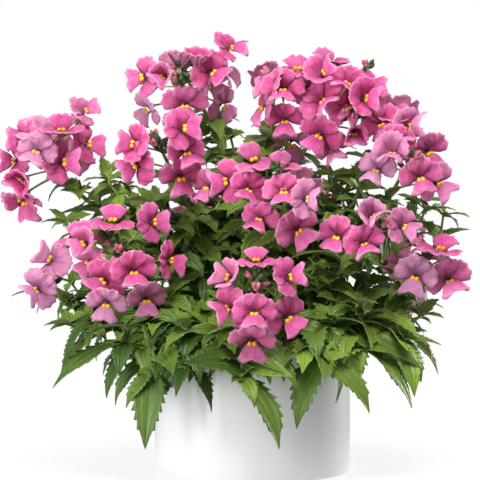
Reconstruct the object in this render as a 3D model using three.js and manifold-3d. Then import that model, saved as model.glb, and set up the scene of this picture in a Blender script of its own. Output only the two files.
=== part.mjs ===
// A nemesia in a plain white pot: leafy stems and shoots in soil, each stem with a head of blooms.
// Millimetres, +Z up. The origin is the centre of the pot's base, and -Y is the side that faces the viewer.
import * as THREE from 'three';
import { mergeVertices } from 'three/addons/utils/BufferGeometryUtils.js';
import Module from 'manifold-3d';

const manifold = await Module();
manifold.setup();

// Driving dimensions of the pot and its soil
const POT_DIAMETER = 108;
const POT_HEIGHT = 76;
const POT_WALL = 4.5;
const POT_FLOOR = 5;
const POT_EDGE = 1;
const POT_SIDES = 36;
const SOIL_DROP = 8;
const SOIL_MOUND = 3;
const GAP = 0.3;

// Driving dimensions of the plant
const ROOT_DEPTH = 9;
const HOLE_CLEARANCE = 0.8;
const CHORD = 22;
const LEAST_CHORDS = 3;
const STEM_RADIUS = 1.35;
const STEM_RISE = 0.55;
const STEM_LEAN = 0.35;
const SHOOT_RADIUS = 1.2;
const SHOOT_ROOT = 34;
const SHOOT_CREST = 94;
const SHOOT_REACH = 0.85;
const TIDY_TOLERANCE = 0.1;

// Driving dimensions of a head, its pedicels, blooms and buds
const HEAD_RADIUS = 26;
const HEAD_DEPTH = 0.8;
const JOINT_SETBACK = 0.35;
const JOINT_DROP = 0.6;
const RACHIS_REACH = 0.7;
const RACHIS_RADIUS = 1.1;
const PEDICEL_RADIUS = 0.7;
const LOWEST_PEDICEL = 0.15;
const PEDICEL_SPAN = 0.75;
const PETAL_THICKNESS = 1.6;
const BLOOM_SIZE = 0.93;
const BLOOM_SIZE_SPREAD = 0.07;
const FACE_OUTWARD = 0.8;
const FACE_FRONT = 0.45;
const FACE_UP = 0.25;
const DOME_START = 28;
const DOME_SPAN = 48;
const DOME_TURN = 40;
const BUD_LENGTH = 6;
const BUD_RADIUS = 1.7;
const BUD_STEP = 2.4;
const BUD_SEAT = 0.42;
const BUD_TURN = 60;
const BUDS = 3;

// Driving dimensions of a leaf, as shares of its length or of its half width where they have no unit
const LEAF_WIDTH = 0.46;
const LEAF_THICKNESS = 1.5;
const LEAF_FOLD = 0.28;
const LEAF_SINK = 0.8;
const LEAF_FULLNESS = 0.72;
const TEETH_START = 0.1;
const TEETH_END = 0.95;
const TOOTH_NOTCH = 0.72;
const TOOTH_POINT = 0.72;
const LARGE_LEAF = 33;
const SHOOT_ROLL = 14;

// The leaves of a stem: where the first and last pair stand, and their angles and lengths with their spreads
const FIRST_PAIR = 0.22;
const LAST_PAIR = 0.92;
const STEM_LEAF = {
  turn: 15, rise: 30, riseSpread: 15, bend: 65, bendSpread: 20,
  length: 42, taper: 4, lengthSpread: 4, roll: 20,
};

// Two more leaves of each shoot over the rim, as [along, azimuth from the tip's own, rise, bend, length]
const RIM_LEAVES = [[0.52, 60, 15, 85, 34], [0.6, -55, 15, 85, 34]];

// Heads that the front view shows. middle is the centre of a head, root the place of its stem in the soil,
// and tip the end of its raceme as [across, up] from the middle. Each bloom is [across, up, lip], with the
// angle of its lip in degrees from straight down towards +X. behind counts the blooms on the far side.
const FRONT_HEADS = [
  { middle: [-111, -5, 178], root: [-24, 2], tip: [-3, 6], pairs: 4, behind: 1, blooms: [
    [6, 12, 180], [7, -2, 90], [21, 5, 90], [19, 22, 110], [-15, 8, -90], [-20, -4, -90], [-6, 1, -20],
    [-14, -23, -70], [-8, -27, 10], [-13, -13, -40], [-8, 20, -160]] },
  { middle: [-37, 5, 218], root: [-10, 8], tip: [-3, 8], pairs: 4, behind: 2, blooms: [
    [-21, 5, -80], [-3, 15, 180], [25, 20, 90], [-10, 1, -45], [15, 4, 45], [0, -14, 0], [-21, -18, -45],
    [21, -16, 45], [28, 3, 90], [7, 16, 150]] },
  { middle: [-52, -20, 182], root: [-16, -8], tip: [0, 5], pairs: 4, behind: 0, blooms: [
    [-13, 6, -100], [-12, -8, -60], [16, -2, 10], [13, 10, 90]] },
  { middle: [20, 5, 208], root: [5, 10], tip: [-8, 12], pairs: 4, behind: 1, blooms: [
    [4, 20, 180], [22, 23, 170], [-3, 4, 0], [-18, -5, -20], [-16, 10, -90], [-2, -12, 0], [2, -27, 0]] },
  { middle: [47, -5, 203], root: [14, 3], tip: [7, -2], pairs: 4, behind: 1, blooms: [
    [-8, 19, 120], [-9, 5, 45], [5, 13, -30], [18, 14, 90], [12, 4, 80], [-10, -15, -30], [-3, -23, 30],
    [8, -13, 0]] },
  { middle: [82, 0, 191], root: [22, 6], tip: [6, -2], pairs: 4, behind: 1, blooms: [
    [-11, 3, 30], [-4, 13, 140], [-3, -7, 0], [15, -13, 20], [8, 6, 90]] },
  { middle: [85, -15, 170], root: [22, -7], tip: [2, 8], pairs: 4, behind: 0, blooms: [
    [-17, 0, -10], [-8, 9, 0], [7, -4, 10], [18, -8, 45]] },
  { middle: [-4, -30, 168], root: [-3, -4], tip: [3, 4], pairs: 4, behind: 0, blooms: [
    [-10, -2, -80], [0, -6, -30], [-24, -7, 0], [5, 12, -150], [20, 5, 170]] },
  { middle: [17, -42, 153], root: [6, -10], tip: [3, 10], pairs: 4, behind: 0, blooms: [
    [0, 7, 0], [-15, -7, -10], [8, -13, 40], [10, 3, 80]] },
  { middle: [-73, -45, 125], root: [-13, -24], tip: [-1, 7], pairs: 2, behind: 0, blooms: [
    [-3, 20, 180], [19, 20, 120], [-21, 10, -150], [-15, 6, -60], [-8, -12, -50], [8, -7, 0], [28, -3, 80],
    [15, -22, 10], [-5, -21, -10]] },
  { middle: [-115, -5, 112], root: [-30, -8], tip: [4, 0], pairs: 2, behind: 1, blooms: [
    [4, 8, -120], [-3, -8, -60]] },
  { middle: [2, -62, 104], root: [1, -24], tip: [0, 8], pairs: 2, behind: 0, blooms: [
    [0, 21, 180], [-16, 13, -110], [18, 12, 100], [-16, -4, -60], [-1, -6, 0], [17, -10, 40],
    [-2, -22, 0]] },
  { middle: [63, -40, 137], root: [16, -17], tip: [6, 6], pairs: 2, behind: 0, blooms: [
    [-17, -1, -10], [-2, -4, 20], [2, 10, 40], [18, 4, 60]] },
  { middle: [100, -10, 117], root: [31, -4], tip: [-4, 4], pairs: 2, behind: 1, blooms: [
    [3, 9, 150], [8, -8, 20], [-10, -6, -10]] },
];

// Heads on the far side of the plant, which turn away from the front view, with blooms placed by a rule
const BACK_HEADS = [
  { middle: [-82, 52, 108], root: [-24, 12], turn: 140, pairs: 2, count: 5 },
  { middle: [-28, 78, 118], root: [-9, 25], turn: 170, pairs: 2, count: 5 },
  { middle: [32, 78, 124], root: [9, 26], turn: 195, pairs: 2, count: 5 },
  { middle: [84, 54, 106], root: [24, 17], turn: 225, pairs: 2, count: 5 },
  { middle: [0, 46, 134], root: [-1, 17], turn: 180, pairs: 2, count: 5 },
];

// Leafy shoots over the rim: the tip of each, and its leaves as [along, azimuth, rise, bend, length]
const SHOOTS = [
  { tip: [-70, -42, 76], leaves: [
    [0.98, -62, -18, 40, 45], [0.98, -10, 0, 70, 30], [0.8, -100, 20, 60, 36], [0.7, 0, 20, 90, 34]] },
  { tip: [-54, -55, 62], leaves: [
    [0.98, -70, -30, 40, 27], [0.98, -5, -50, 35, 38], [0.85, -50, 10, 90, 24], [0.7, 30, 10, 80, 30]] },
  { tip: [-35, -63, 66], leaves: [
    [0.98, -50, -40, 40, 20], [0.98, 48, -30, 50, 31], [0.8, 10, 10, 90, 26], [0.7, -40, 25, 70, 32]] },
  { tip: [-6, -72, 60], leaves: [
    [0.98, 45, -35, 45, 41], [0.98, -35, -10, 60, 24], [0.8, 70, 10, 60, 30], [0.7, -60, 15, 70, 34]] },
  { tip: [38, -62, 70], leaves: [
    [0.98, 60, -25, 50, 37], [0.98, -32, -40, 40, 33], [0.8, -75, 0, 40, 32], [0.7, 10, 20, 90, 34]] },
  { tip: [62, -50, 73], leaves: [
    [0.98, 85, -5, 30, 24], [0.98, 35, -35, 50, 35], [0.8, -10, 10, 80, 30], [0.7, 100, 20, 60, 34]] },
  { tip: [82, -32, 76], leaves: [
    [0.98, 78, 10, 30, 24], [0.98, 40, -20, 60, 30], [0.85, 120, 10, 60, 30], [0.7, 20, 25, 80, 36]] },
  { tip: [82, 18, 74], leaves: [
    [0.98, 110, -20, 50, 36], [0.98, 60, -10, 50, 30], [0.8, 150, 10, 70, 34], [0.7, 90, 20, 80, 36]] },
  { tip: [52, 62, 68], leaves: [
    [0.98, 150, -35, 45, 38], [0.98, 105, -15, 50, 30], [0.8, 190, 10, 70, 32], [0.7, 130, 20, 80, 36]] },
  { tip: [2, 78, 64], leaves: [
    [0.98, 200, -35, 45, 40], [0.98, 150, -15, 50, 32], [0.8, 240, 10, 60, 32], [0.7, 180, 20, 80, 36]] },
  { tip: [-50, 62, 68], leaves: [
    [0.98, 230, -35, 45, 38], [0.98, 180, -15, 50, 30], [0.8, 270, 10, 60, 32], [0.7, 210, 20, 80, 36]] },
  { tip: [-84, 14, 74], leaves: [
    [0.98, 250, -20, 50, 38], [0.98, 290, -15, 50, 32], [0.8, 220, 10, 60, 32], [0.7, 270, 20, 80, 36]] },
];

const POT_RADIUS = POT_DIAMETER / 2;
const SOIL_TOP = POT_HEIGHT - SOIL_DROP;
const UP = new THREE.Vector3(0, 0, 1);
const GOLDEN_ANGLE = 137.5;

const potWhite = new THREE.MeshStandardMaterial({ color: 0xf4f4f2, roughness: 0.35, metalness: 0 });
const peatBrown = new THREE.MeshStandardMaterial({ color: 0x3a2a1e, roughness: 0.95, metalness: 0 });
const leafGreen = new THREE.MeshStandardMaterial({ color: 0x4f7f35, roughness: 0.5, metalness: 0 });
const petalPink = new THREE.MeshStandardMaterial({ color: 0xd85a9c, roughness: 0.6, metalness: 0 });

const radians = THREE.MathUtils.degToRad;
const vector = ([x, y, z]) => new THREE.Vector3(x, y, z);

// A seeded draw from 0 to 1 for item i and purpose j
function chance(i, j) {
  const wave = Math.sin(i * 12.9898 + j * 78.233) * 43758.5453;
  return wave - Math.floor(wave);
}

function spread(i, j, size) {
  return (2 * chance(i, j) - 1) * size;
}

// The direction of an azimuth in degrees, from -Y towards +X
function heading(azimuth) {
  return new THREE.Vector3(Math.sin(radians(azimuth)), -Math.cos(radians(azimuth)), 0);
}

function geometryOf(positions, faces) {
  const geometry = new THREE.BufferGeometry();
  geometry.setAttribute('position', new THREE.Float32BufferAttribute(positions.flatMap((p) => p.toArray()), 3));
  geometry.setIndex(faces.flat());
  return geometry;
}

function solidOf(geometry) {
  const bare = geometry.clone();
  bare.deleteAttribute('normal');
  bare.deleteAttribute('uv');
  const merged = mergeVertices(bare, 1e-4);
  const corners = Array.from(merged.index.array);
  const kept = [];
  for (let i = 0; i < corners.length; i += 3) {
    const [a, b, c] = corners.slice(i, i + 3);
    if (a !== b && b !== c && c !== a) kept.push(a, b, c);
  }
  return new manifold.Manifold(new manifold.Mesh({
    numProp: 3,
    vertProperties: new Float32Array(merged.attributes.position.array),
    triVerts: new Uint32Array(kept),
  }));
}

function meshOf(solid, name, material) {
  const { vertProperties, triVerts } = solid.getMesh();
  const geometry = new THREE.BufferGeometry();
  geometry.setAttribute('position', new THREE.BufferAttribute(vertProperties, 3));
  geometry.setIndex(new THREE.BufferAttribute(triVerts, 1));
  geometry.computeVertexNormals();
  const mesh = new THREE.Mesh(geometry, material);
  mesh.name = name;
  return mesh;
}

// Triangles between two chains of points [index, station], which step along together by station
function stitch(outer, inner) {
  const triangles = [];
  const add = (...corners) => {
    if (new Set(corners).size === 3) triangles.push(corners);
  };
  let i = 0;
  let j = 0;
  while (i < outer.length - 1 || j < inner.length - 1) {
    const innerDone = j === inner.length - 1;
    if (innerDone || (i < outer.length - 1 && outer[i + 1][1] <= inner[j + 1][1])) {
      add(outer[i][0], outer[i + 1][0], inner[j][0]);
      i += 1;
    } else {
      add(outer[i][0], inner[j + 1][0], inner[j][0]);
      j += 1;
    }
  }
  return triangles;
}

// A thin closed blade: front and back share the rim, and the inner points stand apart
function blade(rim, fronts, backs, triangles) {
  const behind = (index) => (index < rim.length ? index : index + fronts.length);
  const faces = triangles.flatMap(([a, b, c]) => [[a, b, c], [behind(a), behind(c), behind(b)]]);
  return geometryOf([...rim, ...fronts, ...backs], faces);
}

function tube(path, radius, steps, sides = 4) {
  const section = new THREE.Shape();
  for (let side = 0; side < sides; side += 1) {
    const angle = (2 * Math.PI * side) / sides;
    const corner = [radius * Math.cos(angle), radius * Math.sin(angle)];
    if (side === 0) section.moveTo(...corner);
    else section.lineTo(...corner);
  }
  return solidOf(new THREE.ExtrudeGeometry(section, { extrudePath: path, steps, bevelEnabled: false }));
}

// Half the width of a leaf at a station from 0 at its base to 1 at its tip, as a share of the widest
function leafProfile(station) {
  return Math.sin(Math.PI * station ** LEAF_FULLNESS);
}

// A toothed leaf that rises from its stem and bends down along its length
function leaf({ base, azimuth, rise, bend, length, roll, teeth, ribs }) {
  const out = heading(azimuth);
  const side = out.clone().cross(UP);
  const start = radians(rise);
  const turn = radians(bend);
  const halfWidth = (LEAF_WIDTH * length) / 2;
  const place = (station, width, lift) => {
    const angle = start - turn * station;
    const reach = (length * (Math.sin(start) - Math.sin(angle))) / turn;
    const height = (length * (Math.cos(angle) - Math.cos(start))) / turn;
    const normal = out.clone().multiplyScalar(-Math.sin(angle)).addScaledVector(UP, Math.cos(angle));
    const tilt = radians(roll);
    const across = side.clone().multiplyScalar(Math.cos(tilt)).addScaledVector(normal, Math.sin(tilt));
    const face = normal.clone().multiplyScalar(Math.cos(tilt)).addScaledVector(side, -Math.sin(tilt));
    return base.clone().addScaledVector(out, reach - LEAF_SINK).addScaledVector(UP, height)
      .addScaledVector(across, width).addScaledVector(face, LEAF_FOLD * Math.abs(width) + lift);
  };
  const edge = [];
  const step = (TEETH_END - TEETH_START) / teeth;
  for (let tooth = 0; tooth < teeth; tooth += 1) {
    const notch = TEETH_START + tooth * step;
    const point = notch + TOOTH_POINT * step;
    edge.push([notch, TOOTH_NOTCH * leafProfile(notch)], [point, leafProfile(point)]);
  }
  const rim = [place(0, 0, 0), place(1, 0, 0)];
  const chain = (sign) => {
    const indices = edge.map(([station, share]) => {
      rim.push(place(station, sign * share * halfWidth, 0));
      return [rim.length - 1, station];
    });
    return [[0, 0], ...indices, [1, 1]];
  };
  const right = chain(1);
  const left = chain(-1);
  const rib = [[0, 0], ...ribs.map((station, i) => [rim.length + i, station]), [1, 1]];
  const triangles = [
    ...stitch(right, rib),
    ...stitch(left, rib).map(([a, b, c]) => [a, c, b]),
  ];
  const fronts = ribs.map((station) => place(station, 0, LEAF_THICKNESS / 2));
  const backs = ribs.map((station) => place(station, 0, -LEAF_THICKNESS / 2));
  return solidOf(blade(rim, fronts, backs, triangles));
}

// Half of a bloom's outline [x, y, z] from the middle of the lip to the cleft between the two upper lobes
const HALF_BLOOM = [
  [0, -12, -0.5], [8.8, -12, -2.4], [3.4, -2.4, -0.2],
  [9, -4, -1.4], [12.5, 0.4, -1.6], [11, 5.8, -0.6], [6, 5.4, 0.2],
  [7.2, 10.2, -0.6], [2.8, 12.6, -0.6], [0, 9.2, 0.2],
];
const WAIST = HALF_BLOOM[2];
const PALATE = [0, -3.6, 1.2];
const CHEEK = [3.6, 1.8, 0.2];
const THROAT = [0, 0.6, -2];
const NECK = [0, 1, -6];
// The least that a pedicel may run the way its bloom faces, as a cosine
const MIN_TURN = 0.2;

// A two-lipped bloom on its pedicel: thin lobes round a hollow throat, drawn out behind into tube and stalk
function floret(frame, size, root) {
  const local = (point) => vector(point).multiplyScalar(size).applyMatrix4(frame);
  const mirrored = HALF_BLOOM.slice(1, -1).reverse().map(([x, y, z]) => [-x, y, z]);
  const outline = [...HALF_BLOOM, ...mirrored];
  const station = ([x, y]) => (Math.atan2(x, THROAT[1] - y) + 2 * Math.PI) % (2 * Math.PI);
  const rim = outline.map((point, i) => [i, station(point)]);
  const first = outline.length;
  const waist = station(WAIST);
  const ring = [[first, 0], [first + 1, waist], [first + 2, Math.PI], [first, 2 * Math.PI - waist]];
  const lobes = stitch([...rim, [0, 2 * Math.PI]], ring);
  const inner = [PALATE, CHEEK, [-CHEEK[0], CHEEK[1], CHEEK[2]]];
  const lifted = (height) => inner.map(([x, y, z]) => local([x, y, z + height]));
  const neck = local(NECK);
  const along = neck.clone().sub(root).normalize();
  const normal = new THREE.Vector3().setFromMatrixColumn(frame, 2);
  if (along.dot(normal) < MIN_TURN) return null;
  const section = (centre) => inner.map(([x, y]) => {
    const out = vector([x, y, 0]).transformDirection(frame);
    out.addScaledVector(along, -out.dot(along)).normalize();
    return centre.clone().addScaledVector(out, PEDICEL_RADIUS);
  });
  const positions = [
    ...outline.map(local), ...lifted(PETAL_THICKNESS / 2), local(THROAT),
    ...lifted(-PETAL_THICKNESS / 2), ...section(neck), ...section(root),
  ];
  const sides = inner.length;
  const throat = first + sides;
  const back = throat + 1;
  const behind = (index) => (index < first ? index : index - first + back);
  const faces = lobes.flatMap(([i, j, k]) => [[i, j, k], [behind(i), behind(k), behind(j)]]);
  for (let side = 0; side < sides; side += 1) {
    const next = (side + 1) % sides;
    faces.push([first + side, first + next, throat]);
    for (const near of [back, back + sides]) {
      const far = near + sides;
      faces.push([near + side, far + side, far + next], [near + side, far + next, near + next]);
    }
  }
  const end = back + 2 * sides;
  faces.push([end, end + 2, end + 1]);
  const petals = positions.slice(0, back + sides);
  const closed = [...faces.filter((face) => face.every((index) => index < petals.length)),
    [back, back + 2, back + 1]];
  return { whole: solidOf(geometryOf(positions, faces)), petals: solidOf(geometryOf(petals, closed)) };
}

// A bud, pointed at both ends round a waist of three corners
function bud(at, along) {
  const profile = [[0, -BUD_LENGTH / 2], [BUD_RADIUS, 0], [0, BUD_LENGTH / 2]];
  const shape = new THREE.LatheGeometry(profile.map(([x, y]) => new THREE.Vector2(x, y)), 3);
  const turn = new THREE.Quaternion().setFromUnitVectors(new THREE.Vector3(0, 1, 0), along);
  return solidOf(shape.applyQuaternion(turn).translate(at.x, at.y, at.z));
}

function touches(a, b) {
  const [low, high] = [a.boundingBox(), b.boundingBox()];
  if ([0, 1, 2].some((k) => low.min[k] > high.max[k] || high.min[k] > low.max[k])) return false;
  const shared = a.intersect(b);
  const overlap = !shared.isEmpty();
  shared.delete();
  return overlap;
}

// Every solid so far, with the name of the piece that it belongs to
const placed = [];

function put(owner, ...solids) {
  solids.forEach((solid) => placed.push({ owner, solid }));
}

function isClear(owner, solid) {
  return !placed.some((other) => other.owner !== owner && touches(solid, other.solid));
}

// Whether a new floret's petals stand free of its own head's stalks and petals
function standsFree(owner, { whole, petals }) {
  const own = placed.filter((other) => other.owner === owner);
  return !own.some((other) => touches(petals, other.solid) || (other.petals && touches(whole, other.petals)));
}

function lathe(outline) {
  const points = outline.map(([radius, height]) => new THREE.Vector2(radius, height));
  return solidOf(new THREE.LatheGeometry(points, POT_SIDES).rotateX(Math.PI / 2));
}

function pot() {
  const inner = POT_RADIUS - POT_WALL;
  return lathe([
    [0, 0], [POT_RADIUS - POT_EDGE, 0], [POT_RADIUS, POT_EDGE], [POT_RADIUS, POT_HEIGHT - POT_EDGE],
    [POT_RADIUS - POT_EDGE, POT_HEIGHT], [inner, POT_HEIGHT], [inner, POT_FLOOR], [0, POT_FLOOR],
  ]);
}

function soil(holes) {
  const radius = POT_RADIUS - POT_WALL - GAP;
  const plug = lathe([[0, POT_FLOOR], [radius, POT_FLOOR], [radius, SOIL_TOP], [0, SOIL_TOP + SOIL_MOUND]]);
  return holes.reduce((ground, hole) => ground.subtract(hole), plug);
}

// The place at a share of a stem's length, on the straight chords that its tube is made of
function onStem(chords, share) {
  const reach = share * (chords.length - 1);
  const index = Math.min(Math.floor(reach), chords.length - 2);
  return chords[index].clone().lerp(chords[index + 1], reach - index);
}

// The straight chords that a stem's tube is made of
function chordCount(path) {
  return Math.max(Math.round(path.getLength() / CHORD), LEAST_CHORDS);
}

// The hole that a stem's lowest chord stands in: a little wider than the stem, and longer at both ends
function hole(path, radius) {
  const [foot, top] = path.getSpacedPoints(chordCount(path));
  const along = top.clone().sub(foot).normalize();
  const bottom = foot.clone().addScaledVector(along, -3 * GAP);
  return tube(new THREE.LineCurve3(bottom, top.addScaledVector(along, SOIL_MOUND)), radius + HOLE_CLEARANCE, 1);
}

function footOf([x, y]) {
  return new THREE.Vector3(x, y, SOIL_TOP - ROOT_DEPTH);
}

// The path of a stem, upright out of the soil and then leaning to the joint with its head
function stemPath(root, end, along) {
  const foot = footOf(root);
  const reach = foot.distanceTo(end);
  return new THREE.CubicBezierCurve3(
    foot,
    foot.clone().addScaledVector(UP, STEM_RISE * reach),
    end.clone().addScaledVector(along, -STEM_LEAN * reach),
    end,
  );
}

// The path of a shoot, up over the pot's rim and down to its tip
function shootPath(root, tip) {
  const foot = footOf(root);
  return new THREE.CubicBezierCurve3(
    foot,
    new THREE.Vector3(foot.x, foot.y, SHOOT_CREST),
    new THREE.Vector3(SHOOT_REACH * tip.x, SHOOT_REACH * tip.y, SHOOT_CREST),
    tip,
  );
}

// The places of a head in space: its middle, the joint with its stem, and the end of its raceme
function headFrame({ middle, turn = 0, tip = [0, 6] }) {
  const centre = vector(middle);
  const front = heading(turn);
  const across = new THREE.Vector3(-front.y, front.x, 0);
  const outward = new THREE.Vector3(middle[0], middle[1], 0).normalize();
  const joint = centre.clone().addScaledVector(outward, -JOINT_SETBACK * HEAD_RADIUS)
    .addScaledVector(UP, -JOINT_DROP * HEAD_RADIUS);
  const place = ([x, forward, z]) => centre.clone().addScaledVector(across, x)
    .addScaledVector(front, forward).addScaledVector(UP, z);
  const end = place([tip[0], RACHIS_REACH * HEAD_RADIUS, tip[1]]);
  const along = end.clone().sub(joint).normalize();
  return { centre, front, across, joint, end, along, place };
}

// The seats of a head's blooms as [across, forward, up, lip]
function bloomSeats({ blooms = [], behind = 0, count = 0 }) {
  const measured = blooms.map(([x, z, lip]) => {
    const forward = HEAD_DEPTH * Math.sqrt(Math.max(HEAD_RADIUS ** 2 - x ** 2 - z ** 2, 0));
    return [x, forward, z, lip];
  });
  const dome = (total, sign) => Array.from({ length: total }, (_, i) => {
    const polar = radians(DOME_START + (DOME_SPAN * (i + 0.5)) / total);
    const angle = radians(GOLDEN_ANGLE * i + DOME_TURN);
    const x = HEAD_RADIUS * Math.sin(polar) * Math.cos(angle);
    const z = HEAD_RADIUS * Math.sin(polar) * Math.sin(angle);
    const lip = THREE.MathUtils.radToDeg(Math.atan2(x, -z));
    return [x, sign * HEAD_DEPTH * HEAD_RADIUS * Math.cos(polar), z, lip];
  });
  return [...measured, ...dome(count, 1), ...dome(behind, -1)];
}

// The frame of a bloom: it faces out of its head, and its lip hangs the way that its angle says
function bloomFrame(places, [x, forward, z, lip], { push, nod, swing }) {
  const facing = new THREE.Vector3(x, forward, z).normalize().multiplyScalar(FACE_OUTWARD);
  facing.x += swing;
  facing.y += forward < 0 ? -FACE_FRONT : FACE_FRONT;
  facing.z += FACE_UP + nod;
  const world = (local) => places.across.clone().multiplyScalar(local.x)
    .addScaledVector(places.front, local.y).addScaledVector(UP, local.z);
  const normal = world(facing).normalize();
  const lipward = world(new THREE.Vector3(Math.sin(radians(lip)), 0, -Math.cos(radians(lip))));
  const upper = lipward.multiplyScalar(-1);
  upper.addScaledVector(normal, -upper.dot(normal)).normalize();
  const right = upper.clone().cross(normal);
  const at = places.place([x, forward, z]).addScaledVector(normal, push);
  return new THREE.Matrix4().makeBasis(right, upper, normal).setPosition(at);
}

// The ways that a bloom can be moved and turned to stand clear, the smallest change first
const TURNS = [0, 0.3, -0.3, 0.6, -0.6];
const PUSHES = [0, 2, -2, 4, -4, 6, -6, 8, -8, 10];
const CHANGES = TURNS.flatMap((nod) => (
  TURNS.flatMap((swing) => PUSHES.map((push) => ({ push, nod, swing })))
)).sort((a, b) => changeSize(a) - changeSize(b));

function changeSize({ push, nod, swing }) {
  return (Math.abs(push) + 2 * PUSHES[1] * (Math.abs(nod) + Math.abs(swing)) / TURNS[1]) / (2 * PUSHES[1]);
}

function addBlooms(name, number, head, places) {
  const seats = bloomSeats(head);
  seats.forEach((seat, i) => {
    const size = BLOOM_SIZE + spread(number, i, BLOOM_SIZE_SPREAD);
    const rank = seats.filter((other) => other[2] < seat[2]).length;
    const share = LOWEST_PEDICEL + (PEDICEL_SPAN * rank) / (seats.length - 1);
    const root = places.joint.clone().lerp(places.end, share);
    const forms = CHANGES.map((change) => () => floret(bloomFrame(places, seat, change), size, root));
    let chosen;
    let crowded;
    for (const form of forms) {
      const flower = form();
      if (!flower || !isClear(name, flower.whole)) continue;
      crowded ??= flower;
      if (standsFree(name, flower)) {
        chosen = flower;
        break;
      }
    }
    chosen ??= crowded;
    if (!chosen) throw new Error(`${name} has no room for bloom ${i}`);
    placed.push({ owner: name, solid: chosen.whole, petals: chosen.petals });
  });
}

// Buds stand round the raceme's end, each a step lower than the one before
function addBuds(name, number, places) {
  for (let i = 0; i < BUDS; i += 1) {
    const along = heading(GOLDEN_ANGLE * i + BUD_TURN * number).add(places.along).normalize();
    const at = places.end.clone().addScaledVector(places.along, -BUD_STEP * (i + 0.5))
      .addScaledVector(along, BUD_SEAT * BUD_LENGTH);
    const solid = bud(at, along);
    if (isClear(name, solid)) put(name, solid);
  }
}

const AZIMUTH_SHIFTS = [0, 20, -20, 40, -40, 60, -60];
const LENGTH_SHARES = [1, 0.78, 0.6];

// Puts the first form of a leaf that is clear of the other pieces, turned or shortened where it has to be,
// and clear of its own stem's other leaves too where one is
function addLeaf(name, pair, plan) {
  const own = placed.filter((other) => other.owner === name && other.pair !== undefined && other.pair !== pair);
  let crowded;
  let chosen;
  for (const share of LENGTH_SHARES) {
    for (const shift of AZIMUTH_SHIFTS) {
      if (chosen) continue;
      const solid = leaf({ ...plan, azimuth: plan.azimuth + shift, length: plan.length * share });
      if (!isClear(name, solid)) continue;
      crowded ??= solid;
      if (!own.some((other) => touches(solid, other.solid))) chosen = solid;
    }
  }
  chosen ??= crowded;
  if (chosen) placed.push({ owner: name, solid: chosen, pair });
}

const heads = [...FRONT_HEADS, ...BACK_HEADS].map((head, i) => {
  const number = i + 1;
  const label = String(number).padStart(2, '0');
  const places = headFrame(head);
  const end = places.joint.clone().addScaledVector(places.along, -GAP);
  return {
    head, number, places, stem: `stem_${label}`, name: `head_${label}`,
    path: stemPath(head.root, end, places.along),
  };
});

const shoots = SHOOTS.map((shoot, i) => {
  const tip = vector(shoot.tip);
  const outward = SHOOT_ROOT / Math.hypot(tip.x, tip.y);
  return {
    shoot, number: 40 + i, name: `shoot_${String(i + 1).padStart(2, '0')}`,
    path: shootPath([outward * tip.x, outward * tip.y], tip),
  };
});

const potSolid = pot();
const soilSolid = soil([
  ...heads.map(({ path }) => hole(path, STEM_RADIUS)),
  ...shoots.map(({ path }) => hole(path, SHOOT_RADIUS)),
]);
put('pot', potSolid);
put('soil', soilSolid);
heads.forEach(({ stem, name, path, places }) => {
  put(stem, tube(path, STEM_RADIUS, chordCount(path)));
  put(name, tube(new THREE.LineCurve3(places.joint, places.end), RACHIS_RADIUS, 1));
});
shoots.forEach(({ name, path }) => put(name, tube(path, SHOOT_RADIUS, chordCount(path))));
heads.forEach(({ name, number, head, places }) => addBuds(name, number, places));
heads.forEach(({ name, number, head, places }) => addBlooms(name, number, head, places));

shoots.forEach(({ name, path, shoot, number }) => {
  const chords = path.getSpacedPoints(chordCount(path));
  const own = THREE.MathUtils.radToDeg(Math.atan2(shoot.tip[0], -shoot.tip[1]));
  const rimLeaves = RIM_LEAVES.map(([along, turn, ...rest]) => [along, own + turn, ...rest]);
  [...shoot.leaves, ...rimLeaves].forEach(([along, azimuth, rise, bend, length], i) => {
    const atRim = i >= shoot.leaves.length;
    addLeaf(name, i, {
      base: onStem(chords, along), azimuth, rise, bend, length,
      roll: spread(number, i, SHOOT_ROLL),
      teeth: length > LARGE_LEAF && !atRim ? 4 : 3,
      ribs: atRim ? [0.42] : [0.3, 0.64],
    });
  });
});

// Opposite pairs of leaves up a stem, each pair across the one below
heads.forEach(({ stem, path, head, number }) => {
  const chords = path.getSpacedPoints(chordCount(path));
  for (let pair = 0; pair < head.pairs; pair += 1) {
    const along = FIRST_PAIR + ((LAST_PAIR - FIRST_PAIR) * pair) / (head.pairs - 1);
    const turned = 360 * chance(number, 50) + 90 * pair;
    for (const side of [0, 180]) {
      const item = 2 * pair + side / 180;
      addLeaf(stem, pair, {
        base: onStem(chords, along),
        azimuth: turned + side + spread(number, 60 + item, STEM_LEAF.turn),
        rise: STEM_LEAF.rise + spread(number, 70 + item, STEM_LEAF.riseSpread),
        bend: STEM_LEAF.bend + spread(number, 80 + item, STEM_LEAF.bendSpread),
        length: STEM_LEAF.length - STEM_LEAF.taper * pair + spread(number, 90 + item, STEM_LEAF.lengthSpread),
        roll: spread(number, 100 + item, STEM_LEAF.roll),
        teeth: 3,
        ribs: [0.42],
      });
    }
  }
});

const group = new THREE.Group();

function addNode(name, material) {
  const solids = placed.filter(({ owner }) => owner === name).map(({ solid }) => solid);
  const whole = solids.length === 1 ? solids[0] : manifold.Manifold.union(solids);
  // A sealed hollow between blooms comes apart as a body turned inside out, and is filled by leaving it out
  const bodies = whole.decompose().filter((body) => body.volume() > 0);
  if (bodies.length !== 1) throw new Error(`${name} is in ${bodies.length} pieces`);
  group.add(meshOf(bodies[0].asOriginal().simplify(TIDY_TOLERANCE), name, material));
}

addNode('pot', potWhite);
addNode('soil', peatBrown);
heads.forEach(({ stem, name }) => {
  addNode(stem, leafGreen);
  addNode(name, petalPink);
});
shoots.forEach(({ name }) => addNode(name, leafGreen));

export default group;
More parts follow.
